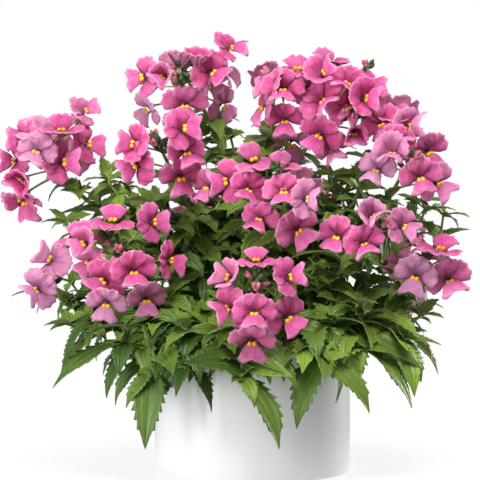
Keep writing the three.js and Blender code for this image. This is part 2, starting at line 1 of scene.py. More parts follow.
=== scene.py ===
# %% [markdown]
# # A potted nemesia
#
# A bushy bedding plant in a plain white pot. Nineteen stems rise from the soil and end in loose
# heads of two-lipped blooms, and twelve leafy shoots bend over the rim. The solids of the plant are
# made elsewhere, and this lesson dresses them: each solid is replaced by a finer piece that keeps
# its place. It starts by loading the solids.

# %% Load the solids
import bisect
import math

import bmesh
import bpy
from mathutils import Matrix, Vector, noise
from mathutils.kdtree import KDTree


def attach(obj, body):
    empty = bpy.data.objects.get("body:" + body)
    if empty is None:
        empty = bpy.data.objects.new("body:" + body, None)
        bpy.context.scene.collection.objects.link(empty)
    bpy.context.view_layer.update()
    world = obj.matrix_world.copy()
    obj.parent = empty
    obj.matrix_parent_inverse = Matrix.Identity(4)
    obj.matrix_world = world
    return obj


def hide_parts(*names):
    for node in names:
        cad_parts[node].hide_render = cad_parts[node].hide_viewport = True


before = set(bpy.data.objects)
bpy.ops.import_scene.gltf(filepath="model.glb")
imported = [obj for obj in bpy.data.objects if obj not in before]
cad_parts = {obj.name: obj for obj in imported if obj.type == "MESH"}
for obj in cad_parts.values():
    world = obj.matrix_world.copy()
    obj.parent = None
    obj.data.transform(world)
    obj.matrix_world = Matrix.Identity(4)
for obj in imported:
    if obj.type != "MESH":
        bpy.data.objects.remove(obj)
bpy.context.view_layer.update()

scene = bpy.context.scene
scene.view_settings.view_transform = "Standard"

# %% [markdown]
# ## The camera
#
# The plant is seen from a little above, from far enough away that the pot's sides look parallel. A
# long lens does that. The camera is placed by the point that it looks at and by its elevation.

# %% Place the camera
CAMERA_ELEVATION = math.radians(6.5)
CAMERA_DISTANCE = 4.0
VIEW_WIDTH = 0.266
VIEW_CENTRE = (-0.0068, 0.1274)

camera_up = Vector((0, math.sin(CAMERA_ELEVATION), math.cos(CAMERA_ELEVATION)))
camera_back = Vector((0, -math.cos(CAMERA_ELEVATION), math.sin(CAMERA_ELEVATION)))
camera = bpy.data.objects.new("camera", bpy.data.cameras.new("camera"))
camera.data.lens = camera.data.sensor_width * CAMERA_DISTANCE / VIEW_WIDTH
view_spot = Vector((VIEW_CENTRE[0], 0, 0)) + camera_up * VIEW_CENTRE[1]
camera.location = view_spot + camera_back * CAMERA_DISTANCE
camera.rotation_euler = camera_back.to_track_quat("Z", "Y").to_euler()
scene.collection.objects.link(camera)
scene.camera = camera
print("lens of", round(camera.data.lens), "mm")

# %% [markdown]
# ## Draws that repeat
#
# No two leaves are alike, yet the plant has to grow the same way every time. A draw from a seed
# would do, but this plant's solids were varied by a wave of two numbers, so the same wave is used
# here. Azimuths turn from the side that faces the camera towards the right.

# %% Seeded draws and directions
MM = 0.001
UP = Vector((0, 0, 1))
GOLDEN_ANGLE = 137.5
ITEM_STEP = 12.9898
PURPOSE_STEP = 78.233
WAVE_HEIGHT = 43758.5453


def chance(item, purpose):
    """A share from 0 to 1 that is always the same for the same two numbers."""
    wave = math.sin(item * ITEM_STEP + purpose * PURPOSE_STEP) * WAVE_HEIGHT
    return wave - math.floor(wave)


def spread(item, purpose, size):
    return (2 * chance(item, purpose) - 1) * size


def heading(azimuth):
    """The level direction of an azimuth, in degrees."""
    return Vector((math.sin(math.radians(azimuth)), -math.cos(math.radians(azimuth)), 0))


def smooth(share):
    """A share held between 0 and 1, eased at both ends."""
    share = min(max(share, 0), 1)
    return share * share * (3 - 2 * share)


print("the first draw is", round(chance(1, 1), 3))

# %% [markdown]
# ## Where the heads and shoots are
#
# Each head has a middle, the place where its stem stands in the soil, the end of its raceme as
# across and up, the pairs of leaves on its stem, and its blooms as across, up and the angle of the
# lip. Blooms behind a head, and all those of the heads at the back, are placed by a rule. Each shoot
# has the place of its tip and its leaves, as along, azimuth, rise, bend and length. Every shoot has
# two leaves more above the rim. All sizes are millimetres and all angles degrees.

# %% Tables of heads
FRONT_HEADS = [
    dict(middle=(-111, -5, 178), root=(-24, 2), tip=(-3, 6), pairs=4, behind=1, blooms=[
        (6, 12, 180), (7, -2, 90), (21, 5, 90), (19, 22, 110), (-15, 8, -90), (-20, -4, -90),
        (-6, 1, -20), (-14, -23, -70), (-8, -27, 10), (-13, -13, -40), (-8, 20, -160)]),
    dict(middle=(-37, 5, 218), root=(-10, 8), tip=(-3, 8), pairs=4, behind=2, blooms=[
        (-21, 5, -80), (-3, 15, 180), (25, 20, 90), (-10, 1, -45), (15, 4, 45), (0, -14, 0), (-21, -18, -45),
        (21, -16, 45), (28, 3, 90), (7, 16, 150)]),
    dict(middle=(-52, -20, 182), root=(-16, -8), tip=(0, 5), pairs=4, behind=0, blooms=[
        (-13, 6, -100), (-12, -8, -60), (16, -2, 10), (13, 10, 90)]),
    dict(middle=(20, 5, 208), root=(5, 10), tip=(-8, 12), pairs=4, behind=1, blooms=[
        (4, 20, 180), (22, 23, 170), (-3, 4, 0), (-18, -5, -20), (-16, 10, -90), (-2, -12, 0), (2, -27, 0)]),
    dict(middle=(47, -5, 203), root=(14, 3), tip=(7, -2), pairs=4, behind=1, blooms=[
        (-8, 19, 120), (-9, 5, 45), (5, 13, -30), (18, 14, 90), (12, 4, 80), (-10, -15, -30), (-3, -23, 30),
        (8, -13, 0)]),
    dict(middle=(82, 0, 191), root=(22, 6), tip=(6, -2), pairs=4, behind=1, blooms=[
        (-11, 3, 30), (-4, 13, 140), (-3, -7, 0), (15, -13, 20), (8, 6, 90)]),
    dict(middle=(85, -15, 170), root=(22, -7), tip=(2, 8), pairs=4, behind=0, blooms=[
        (-17, 0, -10), (-8, 9, 0), (7, -4, 10), (18, -8, 45)]),
    dict(middle=(-4, -30, 168), root=(-3, -4), tip=(3, 4), pairs=4, behind=0, blooms=[
        (-10, -2, -80), (0, -6, -30), (-24, -7, 0), (5, 12, -150), (20, 5, 170)]),
    dict(middle=(17, -42, 153), root=(6, -10), tip=(3, 10), pairs=4, behind=0, blooms=[
        (0, 7, 0), (-15, -7, -10), (8, -13, 40), (10, 3, 80)]),
    dict(middle=(-73, -45, 125), root=(-13, -24), tip=(-1, 7), pairs=2, behind=0, blooms=[
        (-3, 20, 180), (19, 20, 120), (-21, 10, -150), (-15, 6, -60), (-8, -12, -50), (8, -7, 0),
        (28, -3, 80), (15, -22, 10), (-5, -21, -10)]),
    dict(middle=(-115, -5, 112), root=(-30, -8), tip=(4, 0), pairs=2, behind=1, blooms=[
        (4, 8, -120), (-3, -8, -60)]),
    dict(middle=(2, -62, 104), root=(1, -24), tip=(0, 8), pairs=2, behind=0, blooms=[
        (0, 21, 180), (-16, 13, -110), (18, 12, 100), (-16, -4, -60), (-1, -6, 0), (17, -10, 40),
        (-2, -22, 0)]),
    dict(middle=(63, -40, 137), root=(16, -17), tip=(6, 6), pairs=2, behind=0, blooms=[
        (-17, -1, -10), (-2, -4, 20), (2, 10, 40), (18, 4, 60)]),
    dict(middle=(100, -10, 117), root=(31, -4), tip=(-4, 4), pairs=2, behind=1, blooms=[
        (3, 9, 150), (8, -8, 20), (-10, -6, -10)]),
]

BACK_HEADS = [
    dict(middle=middle, root=root, turn=turn, pairs=2, count=5) for middle, root, turn in [
        ((-82, 52, 108), (-24, 12), 140),
        ((-28, 78, 118), (-9, 25), 170),
        ((32, 78, 124), (9, 26), 195),
        ((84, 54, 106), (24, 17), 225),
        ((0, 46, 134), (-1, 17), 180),
    ]
]
print(len(FRONT_HEADS), "heads in front and", len(BACK_HEADS), "behind")

# %% Table of shoots
SHOOTS = [
    ((-70, -42, 76), [(0.98, -62, -18, 40, 45), (0.98, -10, 0, 70, 30), (0.8, -100, 20, 60, 36),
                      (0.7, 0, 20, 90, 34)]),
    ((-54, -55, 62), [(0.98, -70, -30, 40, 27), (0.98, -5, -50, 35, 38), (0.85, -50, 10, 90, 24),
                      (0.7, 30, 10, 80, 30)]),
    ((-35, -63, 66), [(0.98, -50, -40, 40, 20), (0.98, 48, -30, 50, 31), (0.8, 10, 10, 90, 26),
                      (0.7, -40, 25, 70, 32)]),
    ((-6, -72, 60), [(0.98, 45, -35, 45, 41), (0.98, -35, -10, 60, 24), (0.8, 70, 10, 60, 30),
                     (0.7, -60, 15, 70, 34)]),
    ((38, -62, 70), [(0.98, 60, -25, 50, 37), (0.98, -32, -40, 40, 33), (0.8, -75, 0, 40, 32),
                     (0.7, 10, 20, 90, 34)]),
    ((62, -50, 73), [(0.98, 85, -5, 30, 24), (0.98, 35, -35, 50, 35), (0.8, -10, 10, 80, 30),
                     (0.7, 100, 20, 60, 34)]),
    ((82, -32, 76), [(0.98, 78, 10, 30, 24), (0.98, 40, -20, 60, 30), (0.85, 120, 10, 60, 30),
                     (0.7, 20, 25, 80, 36)]),
    ((82, 18, 74), [(0.98, 110, -20, 50, 36), (0.98, 60, -10, 50, 30), (0.8, 150, 10, 70, 34),
                    (0.7, 90, 20, 80, 36)]),
    ((52, 62, 68), [(0.98, 150, -35, 45, 38), (0.98, 105, -15, 50, 30), (0.8, 190, 10, 70, 32),
                    (0.7, 130, 20, 80, 36)]),
    ((2, 78, 64), [(0.98, 200, -35, 45, 40), (0.98, 150, -15, 50, 32), (0.8, 240, 10, 60, 32),
                   (0.7, 180, 20, 80, 36)]),
    ((-50, 62, 68), [(0.98, 230, -35, 45, 38), (0.98, 180, -15, 50, 30), (0.8, 270, 10, 60, 32),
                     (0.7, 210, 20, 80, 36)]),
    ((-84, 14, 74), [(0.98, 250, -20, 50, 38), (0.98, 290, -15, 50, 32), (0.8, 220, 10, 60, 32),
                     (0.7, 270, 20, 80, 36)]),
]
RIM_LEAVES = [(0.52, 60, 15, 85, 34), (0.6, -55, 15, 85, 34)]
print(len(SHOOTS), "shoots with", sum(len(leaves) + len(RIM_LEAVES) for _, leaves in SHOOTS), "leaves")

# %% [markdown]
# ## The paths of stems and shoots
#
# A stem is a Bezier curve, upright out of the soil and then leaning to its head; a shoot goes up
# over the rim and down to its tip. Leaves stand at shares of the length, so each curve is measured
# once in short steps, and a share is looked up in that list.

# %% Measured curves
ROOT_DEPTH = 9
SOIL_TOP = 68
STEPS = 200
CHORD = 22
LEAST_CHORDS = 3
STEM_RISE = 0.55
STEM_LEAN = 0.35
SHOOT_ROOT = 34
SHOOT_CREST = 94
SHOOT_REACH = 0.85


class Path:
    """A cubic Bezier curve that gives the point at a share of its length."""

    def __init__(self, *controls):
        self.controls = controls
        points = [self.point(i / STEPS) for i in range(STEPS + 1)]
        self.lengths = [0.0]
        for p, q in zip(points, points[1:]):
            self.lengths.append(self.lengths[-1] + (q - p).length)
        self.length = self.lengths[-1]

    def point(self, t):
        a, b, c, d = self.controls
        s = 1 - t
        return a * s**3 + b * (3 * s * s * t) + c * (3 * s * t * t) + d * t**3

    def at(self, share):
        target = share * self.length
        i = min(max(bisect.bisect_right(self.lengths, target) - 1, 0), STEPS - 1)
        return self.point((i + (target - self.lengths[i]) / (self.lengths[i + 1] - self.lengths[i])) / STEPS)

    def chords(self):
        """The joints of the straight lengths that a solid stem is made of."""
        count = max(math.floor(self.length / CHORD + 0.5), LEAST_CHORDS)
        return [self.at(i / count) for i in range(count + 1)]


def on_chords(chords, share):
    """The place on the straight lengths, where the leaves of a solid are joined."""
    reach = share * (len(chords) - 1)
    i = min(math.floor(reach), len(chords) - 2)
    return chords[i].lerp(chords[i + 1], reach - i)


def stem_path(root, end, along):
    """From a foot in the soil, upright at first, to an end that the path reaches going along."""
    foot = Vector((*root, SOIL_TOP - ROOT_DEPTH))
    reach = (end - foot).length
    return Path(foot, foot + UP * STEM_RISE * reach, end - along * STEM_LEAN * reach, end)


def shoot_path(tip):
    """From a foot in the soil, up over the rim of the pot and down to the tip."""
    foot = Vector((tip.x, tip.y, 0)).normalized() * SHOOT_ROOT
    foot.z = SOIL_TOP - ROOT_DEPTH
    above = Vector((SHOOT_REACH * tip.x, SHOOT_REACH * tip.y, SHOOT_CREST))
    return Path(foot, Vector((foot.x, foot.y, SHOOT_CREST)), above, tip)


print("the first shoot is", round(shoot_path(Vector(SHOOTS[0][0])).length), "mm long")

# %% [markdown]
# ## The frame of each head and bloom
#
# A head is a flattened ball of blooms round a short raceme. Each bloom sits on the ball and faces
# out, forward and a little up, and its lip hangs the way that its angle says. Some blooms of the
# solids were pushed or turned a little to stand clear of others. The solid's own corners show by how
# much, so each way is tried, from the smallest change on, and the first one whose outline is found
# among the solid's corners is taken.

# %% A solid's corners, and the ways to try
NEAR_CORNER = 0.08
SURE_FIT = 0.85
PUSH_STEP = 4
TURN_STEP = 0.3
TURNS = (0, 0.3, -0.3, 0.6, -0.6)
PUSHES = (0, 2, -2, 4, -4, 6, -6, 8, -8, 10)
HALF_RIM = [(8.8, -12, -2.4), (3.4, -2.4, -0.2), (9, -4, -1.4), (12.5, 0.4, -1.6), (11, 5.8, -0.6),
            (6, 5.4, 0.2), (7.2, 10.2, -0.6), (2.8, 12.6, -0.6)]
RIM = [(0, -12, -0.5), (0, 9.2, 0.2)] + [(sign * x, y, z) for x, y, z in HALF_RIM for sign in (1, -1)]
CHANGES = sorted(
    ((push, nod, swing) for nod in TURNS for swing in TURNS for push in PUSHES),
    key=lambda change: abs(change[0]) / PUSH_STEP + (abs(change[1]) + abs(change[2])) / TURN_STEP)


class Corners:
    """The corners of a solid, in millimetres, which a guess is held against."""

    def __init__(self, node):
        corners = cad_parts[node].data.vertices
        self.tree = KDTree(len(corners))
        for corner in corners:
            self.tree.insert(corner.co / MM, corner.index)
        self.tree.balance()

    def share(self, points):
        """How many of the points are corners of the solid, as a share."""
        return sum(self.tree.find(point)[2] < NEAR_CORNER for point in points) / len(points)

    def best(self, guesses, points_of):
        """The guess most of whose points are corners, and their share."""
        chosen, most = None, 0
        for guess in guesses:
            share = self.share(points_of(guess))
            if share > most:
                chosen, most = guess, share
            if share > SURE_FIT:
                break
        return chosen, most


print(len(CHANGES), "ways to push and turn a bloom")

# %% Heads, seats and bloom frames
HEAD_RADIUS = 26
HEAD_DEPTH = 0.8
JOINT_SETBACK = 0.35
JOINT_DROP = 0.6
JOINT_GAP = 0.3
RACEME_REACH = 0.7
BLOOM_SIZE = 0.93
SIZE_SPREAD = 0.07
DOME_START = 28
DOME_SPAN = 48
DOME_TURN = 40
FACE_OUTWARD = 0.8
FACE_FRONT = 0.45
FACE_UP = 0.25
LOWEST_PEDICEL = 0.15
PEDICEL_SPAN = 0.75


class Head:
    """The places of one head: its middle, the joint with its stem and the end of its raceme."""

    def __init__(self, number, plan):
        self.number = number
        self.middle = Vector(plan["middle"])
        self.front = heading(plan.get("turn", 0))
        self.across = Vector((-self.front.y, self.front.x, 0))
        tip = plan.get("tip", (0, 6))
        outward = Vector((self.middle.x, self.middle.y, 0)).normalized()
        self.joint = self.middle - outward * JOINT_SETBACK * HEAD_RADIUS - UP * JOINT_DROP * HEAD_RADIUS
        self.end = self.place(tip[0], RACEME_REACH * HEAD_RADIUS, tip[1])
        self.along = (self.end - self.joint).normalized()
        self.pairs = plan["pairs"]
        self.path = stem_path(plan["root"], self.joint - self.along * JOINT_GAP, self.along)
        self.seats = [
            (x, HEAD_DEPTH * math.sqrt(max(HEAD_RADIUS**2 - x * x - z * z, 0)), z, lip)
            for x, z, lip in plan.get("blooms", [])]
        self.seats += self.dome(plan.get("count", 0), 1) + self.dome(plan.get("behind", 0), -1)

    def place(self, x, forward, z):
        """A place given as across, forward and up from the head's middle."""
        return self.middle + self.across * x + self.front * forward + UP * z

    def dome(self, total, sign):
        """Seats spread evenly over the front of a head, where sign is 1, or over its back."""
        seats = []
        for i in range(total):
            polar = math.radians(DOME_START + DOME_SPAN * (i + 0.5) / total)
            angle = math.radians(GOLDEN_ANGLE * i + DOME_TURN)
            x = HEAD_RADIUS * math.sin(polar) * math.cos(angle)
            z = HEAD_RADIUS * math.sin(polar) * math.sin(angle)
            forward = sign * HEAD_DEPTH * HEAD_RADIUS * math.cos(polar)
            seats.append((x, forward, z, math.degrees(math.atan2(x, -z))))
        return seats

    def bloom_frame(self, seat, push=0, nod=0, swing=0):
        """The frame of a bloom: +Z is the way that it faces, and its lip hangs along -Y."""
        x, forward, z, lip = seat
        facing = Vector((x, forward, z)).normalized() * FACE_OUTWARD
        facing += Vector((swing, math.copysign(FACE_FRONT, forward), FACE_UP + nod))
        normal = (self.across * facing.x + self.front * facing.y + UP * facing.z).normalized()
        upper = UP * math.cos(math.radians(lip)) - self.across * math.sin(math.radians(lip))
        upper = (upper - normal * upper.dot(normal)).normalized()
        basis = Matrix((upper.cross(normal), upper, normal)).transposed().to_4x4()
        return Matrix.Translation(self.place(x, forward, z) + normal * push) @ basis

    def pedicel_root(self, seat):
        """Where a bloom's pedicel leaves the raceme: the higher the seat, the nearer to its end."""
        rank = sum(other[2] < seat[2] for other in self.seats)
        share = LOWEST_PEDICEL + PEDICEL_SPAN * rank / (len(self.seats) - 1)
        return self.joint.lerp(self.end, share)


print("a head is", 2 * HEAD_RADIUS, "mm wide and", 2 * HEAD_DEPTH * HEAD_RADIUS, "mm deep")

# %% The heads and their blooms
POOR_FIT = 0.2


def bloom_places(head):
    """The frame, size and pedicel root of each bloom, as its solid has them."""
    corners = Corners(f"head_{head.number:02d}")
    found = []
    for i, seat in enumerate(head.seats):
        size = BLOOM_SIZE + spread(head.number, i, SIZE_SPREAD)
        rim = [Vector(point) * size for point in RIM]
        guesses = (head.bloom_frame(seat, *change) for change in CHANGES)
        guess, share = corners.best(guesses, lambda pose: [pose @ point for point in rim])
        if share < POOR_FIT:
            print("head", head.number, "bloom", i, "is only a", round(share, 2), "fit")
        found.append((guess, size, head.pedicel_root(seat)))
    return found


heads = [Head(i + 1, plan) for i, plan in enumerate(FRONT_HEADS + BACK_HEADS)]
blooms = {head.number: bloom_places(head) for head in heads}
print(sum(map(len, blooms.values())), "blooms on", len(heads), "heads")

# %% [markdown]
# ## Finishes as sums
#
# Petals and leaves are patterned by shader nodes. Wiring nodes by hand hides what they work out, so
# a small class wraps a socket and lets Python's own signs add the Math nodes. Any other node comes
# from one method, and so do mixes of colours.

# %% A socket that can be reckoned with
class Value:
    """An output socket of a finish."""

    def __init__(self, finish, socket):
        self.finish = finish
        self.socket = socket

    def math(self, operation, *others):
        return self.finish.node("Math", {"operation": operation}, dict(enumerate((self, *others))))

    def __add__(self, other):
        return self.math("ADD", other)

    def __sub__(self, other):
        return self.math("SUBTRACT", other)

    def __rsub__(self, other):
        return self.finish.node("Math", {"operation": "SUBTRACT"}, {0: other, 1: self})

    def __mul__(self, other):
        return self.math("MULTIPLY", other)

    def __pow__(self, other):
        return self.math("POWER", other)

    __radd__ = __add__
    __rmul__ = __mul__

    def absolute(self):
        return self.math("ABSOLUTE")

    def sine(self):
        return self.math("SINE")

    def step(self, low, high):
        """Goes smoothly from 0 at low to 1 at high."""
        limits = {"Value": self, "From Min": low, "From Max": high}
        return self.finish.node("MapRange", {"interpolation_type": "SMOOTHSTEP"}, limits, "Result")


print("a socket can be used with + - * and **")


# %% A finish and its nodes
class Finish:
    """A material made of a Principled shader and the nodes that drive it."""

    def __init__(self, name, **constants):
        self.material = bpy.data.materials.new(name)
        self.material.use_nodes = True
        self.nodes = self.material.node_tree.nodes
        self.links = self.material.node_tree.links
        self.shader = self.nodes["Principled BSDF"]
        for socket, value in constants.items():
            self.shader.inputs[socket.replace("_", " ")].default_value = value

    def node(self, kind, settings=None, inputs=None, output=0):
        node = self.nodes.new("ShaderNode" + kind)
        for key, value in (settings or {}).items():
            setattr(node, key, value)
        for key, value in (inputs or {}).items():
            self.put(node.inputs[key], value)
        return Value(self, node.outputs[output])

    def put(self, socket, value):
        if isinstance(value, Value):
            self.links.new(value.socket, socket)
        else:
            socket.default_value = value

    def mix(self, share, first, second):
        """A colour between two: share 0 gives the first and 1 the second."""
        return self.node("Mix", {"data_type": "RGBA"}, {0: share, 6: first, 7: second}, 2)

    def attribute(self, name):
        return self.node("Attribute", {"attribute_name": name}, output="Fac")

    def unwrapped(self):
        """Across, from -1 to 1, and along, from 0 to 1, on a sheet."""
        uv = self.node("UVMap", {"uv_map": "UVMap"})
        u = self.node("SeparateXYZ", inputs={0: uv}, output="X")
        v = self.node("SeparateXYZ", inputs={0: uv}, output="Y")
        return u * 2 - 1, v

    def noise(self, scale, detail=3, roughness=0.5):
        spot = self.node("TexCoord", output="Object")
        return self.node("TexNoise", inputs={"Vector": spot, "Scale": scale, "Detail": detail,
                                             "Roughness": roughness}, output="Fac")

    def relief(self, height, distance, strength=1.0):
        bump = self.node("Bump", inputs={"Height": height, "Distance": distance, "Strength": strength},
                         output="Normal")
        self.put(self.shader.inputs["Normal"], bump)

    def drive(self, socket, value):
        self.put(self.shader.inputs[socket], value)


def colour(red, green, blue):
    """A colour as an eye picks it, from 0 to 255, in the linear numbers that a shader takes."""
    return (*[((c / 255 + 0.055) / 1.055) ** 2.4 for c in (red, green, blue)], 1)


print("the grey of a pale floor:", colour(130, 130, 130))

# %% [markdown]
# ## Petals
#
# The blooms open a hot magenta pink and fade to lilac as they age. Each upper lobe is darker wine at
# its heart, partly its own colour and partly painted shade towards the middle of the bloom, and is
# darkened with painted shade along its sides, where the lobes overlap. Fine dark lines run out of a
# throat that is violet and darkened with painted shade. The lip is a shade pinker. Every petal is
# finely speckled with a paler pink and paler on its back; it is paler at its rim too, partly its own
# colour and partly a painted highlight. The map of a petal gives the place across and along it. A
# stored tone says how far a bloom has faded, and a second value tells the lip from the upper lobes.

# %% Petal finishes
UPPER_PINKS = colour(232, 102, 158), colour(202, 62, 126)
LIP_PINKS = colour(232, 104, 164), colour(212, 72, 142)
FADED_LILACS = colour(220, 162, 190), colour(200, 134, 172)
TINGE = colour(190, 84, 158)
WINES = colour(138, 28, 80), colour(156, 96, 144)
# The throat's violets are partly its own colour and partly painted shade of the hollow throat.
VIOLETS_AND_THROAT_SHADE = colour(88, 34, 86), colour(104, 92, 142)
# The pale rim colour is partly the petal's own paler edge and partly a painted highlight.
PALE_RIM_AND_HIGHLIGHT = colour(236, 164, 198)
PALE_SPECK = colour(238, 176, 208)
PALE_BACK = colour(232, 172, 200)
STREAKS = 34
LINES = 18
PETAL_RELIEF = 0.00012


def petal_finish(name, back):
    finish = Finish(name, Roughness=0.7, Specular_IOR_Level=0.2, Subsurface_Weight=0.35,
                    Subsurface_Scale=0.002, Subsurface_Radius=(0.9, 0.5, 0.7))
    across, along = finish.unwrapped()
    faded = finish.attribute("tone")
    lip = finish.attribute("lip")
    mottle = finish.noise(240, 3, 0.5).step(0.25, 0.75)
    streaks = ((across * STREAKS + mottle * 5).sine() * 0.5 + 0.5) * (1 - along.step(0.2, 0.95) * 0.7)
    upper_pink = finish.mix(mottle, *UPPER_PINKS)
    fresh = finish.mix(lip, upper_pink, finish.mix(mottle, *LIP_PINKS))
    tinged = finish.noise(70, 2).step(0.45, 0.75)
    fresh = finish.mix(tinged * 0.35, fresh, TINGE)
    body = finish.mix(faded, fresh, finish.mix(mottle, *FADED_LILACS))
    wine = finish.mix(faded, *WINES)
    # Darker wine towards the middle of the bloom: partly the lobe's own colour, partly painted shade.
    heart_colour_and_shade = (1 - along.step(0.1, 0.75)) * 0.7
    body = finish.mix(heart_colour_and_shade * (1 - lip * 0.7), body, wine)
    from_middle = (across * across + (along * 2 - 1) ** 2) ** 0.5
    # Paler towards the rim: partly the petal's own paler edge, partly a painted highlight where the rim
    # catches the light.
    rim = from_middle.step(0.7, 1.02) * along.step(0.3, 0.6) * (0.45 + 0.05 * lip)
    body = finish.mix(rim, body, PALE_RIM_AND_HIGHLIGHT)
    body = finish.mix(streaks * 0.22, body, wine)
    lines = ((across * LINES + mottle * 2).sine() * 0.5 + 0.5) ** 6
    body = finish.mix(lines * (1 - along.step(0.1, 0.8)) * 0.45, body, wine)
    body = finish.mix(finish.noise(1100, 2).step(0.5, 0.8) * 0.22, body, PALE_SPECK)
    # Painted shade: each upper lobe is darkened towards wine along its sides, where the lobes overlap.
    overlap_shade = across.absolute().step(0.4, 0.95) * (1 - along.step(0.3, 0.7)) * (1 - lip)
    body = finish.mix(overlap_shade * 0.7, body, wine)
    # Painted shade: the base of each upper lobe is darkened to violet where it runs into the hollow throat.
    throat_shade = (1 - along.step(0.03, 0.19)) * (1 - lip) * 0.8
    body = finish.mix(throat_shade, body, finish.mix(faded, *VIOLETS_AND_THROAT_SHADE))
    if back:
        body = finish.mix(0.5, body, PALE_BACK)
    finish.drive("Base Color", body)
    finish.relief(streaks * 0.6 + mottle * 0.5, PETAL_RELIEF)
    return finish.material


petal_face = petal_finish("petal_face", False)
petal_back = petal_finish("petal_back", True)
print("finishes of a petal:", petal_face.name, petal_back.name)


# %% Plain finishes of a bloom
def plain_finish(name, light, dark, scale, **constants):
    """Patches of two colours, a little raised."""
    finish = Finish(name, **constants)
    patches = finish.noise(scale)
    finish.drive("Base Color", finish.mix(patches.step(0.3, 0.7), colour(*light), colour(*dark)))
    finish.relief(patches, 0.0003)
    return finish.material


palate_yellow = plain_finish("palate_yellow", (255, 214, 36), (248, 166, 14), 110, Roughness=0.5)
# The throat's ball is dark violet: partly its own colour, partly painted shade of the hollow throat.
throat_violet_and_shade = plain_finish("throat_violet_and_shade", (96, 46, 96), (60, 24, 60), 900, Roughness=0.7)
corolla_pale = plain_finish("corolla_pale", (214, 150, 184), (190, 150, 130), 500, Roughness=0.6)
spur_tan = plain_finish("spur_tan", (176, 132, 104), (128, 82, 66), 600, Roughness=0.6)
print("finishes of a bloom's middle:", palate_yellow.name, throat_violet_and_shade.name, spur_tan.name)

# %% [markdown]
# ## Leaves and stems
#
# A nemesia's leaf is a long blade with a few sharp teeth that point forward, three pale veins that
# run side by side to its tip, and fine grooves between them, which are darkened with painted shade.
# Old leaves are a deep, slightly glossy green and young growth is lime, which a stored tone tells.
# Buds and sepals are a darker, duller green, and stems a paler one.

# %% Leaf and stem finishes
OLD_GREENS = colour(42, 74, 20), colour(76, 110, 34)
YOUNG_GREENS = colour(140, 172, 54), colour(168, 196, 76)
VEIN_GREENS = colour(120, 150, 76), colour(190, 208, 118)
# Darker greens painted along the grooves as painted shade.
GROOVE_SHADE_GREENS = colour(30, 58, 20), colour(100, 136, 46)
GREY_BACK = colour(128, 152, 100)
SIDE_VEIN = 0.42
GROOVES = 6.0
LEAF_RELIEF = 0.0005


def leaf_finish(name, back):
    finish = Finish(name, Specular_IOR_Level=0.45, Subsurface_Weight=0.05, Subsurface_Scale=0.001)
    across, along = finish.unwrapped()
    young = finish.attribute("tone")
    patches = finish.noise(260, 4)
    old_green = finish.mix(patches, *OLD_GREENS)
    young_green = finish.mix(patches, *YOUNG_GREENS)
    body = finish.mix(young, old_green, young_green)
    middle = 1 - across.absolute().step(0.0, 0.09)
    sides = 1 - (across.absolute() - SIDE_VEIN).absolute().step(0.0, 0.07)
    veins = (middle + sides * 0.6) * (1 - along.step(0.8, 1.0))
    body = finish.mix(veins * 0.6, body, finish.mix(young, *VEIN_GREENS))
    # Painted shade: the leaf is darkened in a fine pattern of lines along its grooves, which also give its
    # relief.
    grooves_and_shade = (across * GROOVES).sine().absolute()
    body = finish.mix(grooves_and_shade * 0.14, body, finish.mix(young, *GROOVE_SHADE_GREENS))
    if back:
        body = finish.mix(0.5, body, GREY_BACK)
    finish.drive("Base Color", body)
    finish.drive("Roughness", patches * 0.24 + (0.5 if back else 0.28))
    finish.relief(grooves_and_shade * 0.5 - veins + patches * 0.5, LEAF_RELIEF)
    return finish.material


leaf_face = leaf_finish("leaf_face", False)
leaf_back = leaf_finish("leaf_back", True)
stem_green = plain_finish("stem_green", (158, 178, 96), (112, 142, 64), 240, Roughness=0.5)
pedicel_green = plain_finish("pedicel_green", (178, 186, 108), (136, 152, 80), 300, Roughness=0.55)
bud_green = plain_finish("bud_green", (76, 96, 44), (40, 60, 28), 600, Roughness=0.6)
bud_pink = plain_finish("bud_pink", (214, 122, 146), (176, 96, 104), 600, Roughness=0.6)
print("finishes of a leaf:", leaf_face.name, leaf_back.name)

# %% [markdown]
# ## Pieces from sheets and tubes
#
# Nearly everything on this plant is a thin blade or a tube. A blade starts as a flat grid, whose
# corners are then moved to their places. A tube starts as a ring, which is extruded from place to
# place. Balls and cones make the small round parts. A piece collects blades first, gives them all a
# thickness at once, and then takes the rest.

# %% The maker of pieces
WELD = 0.002


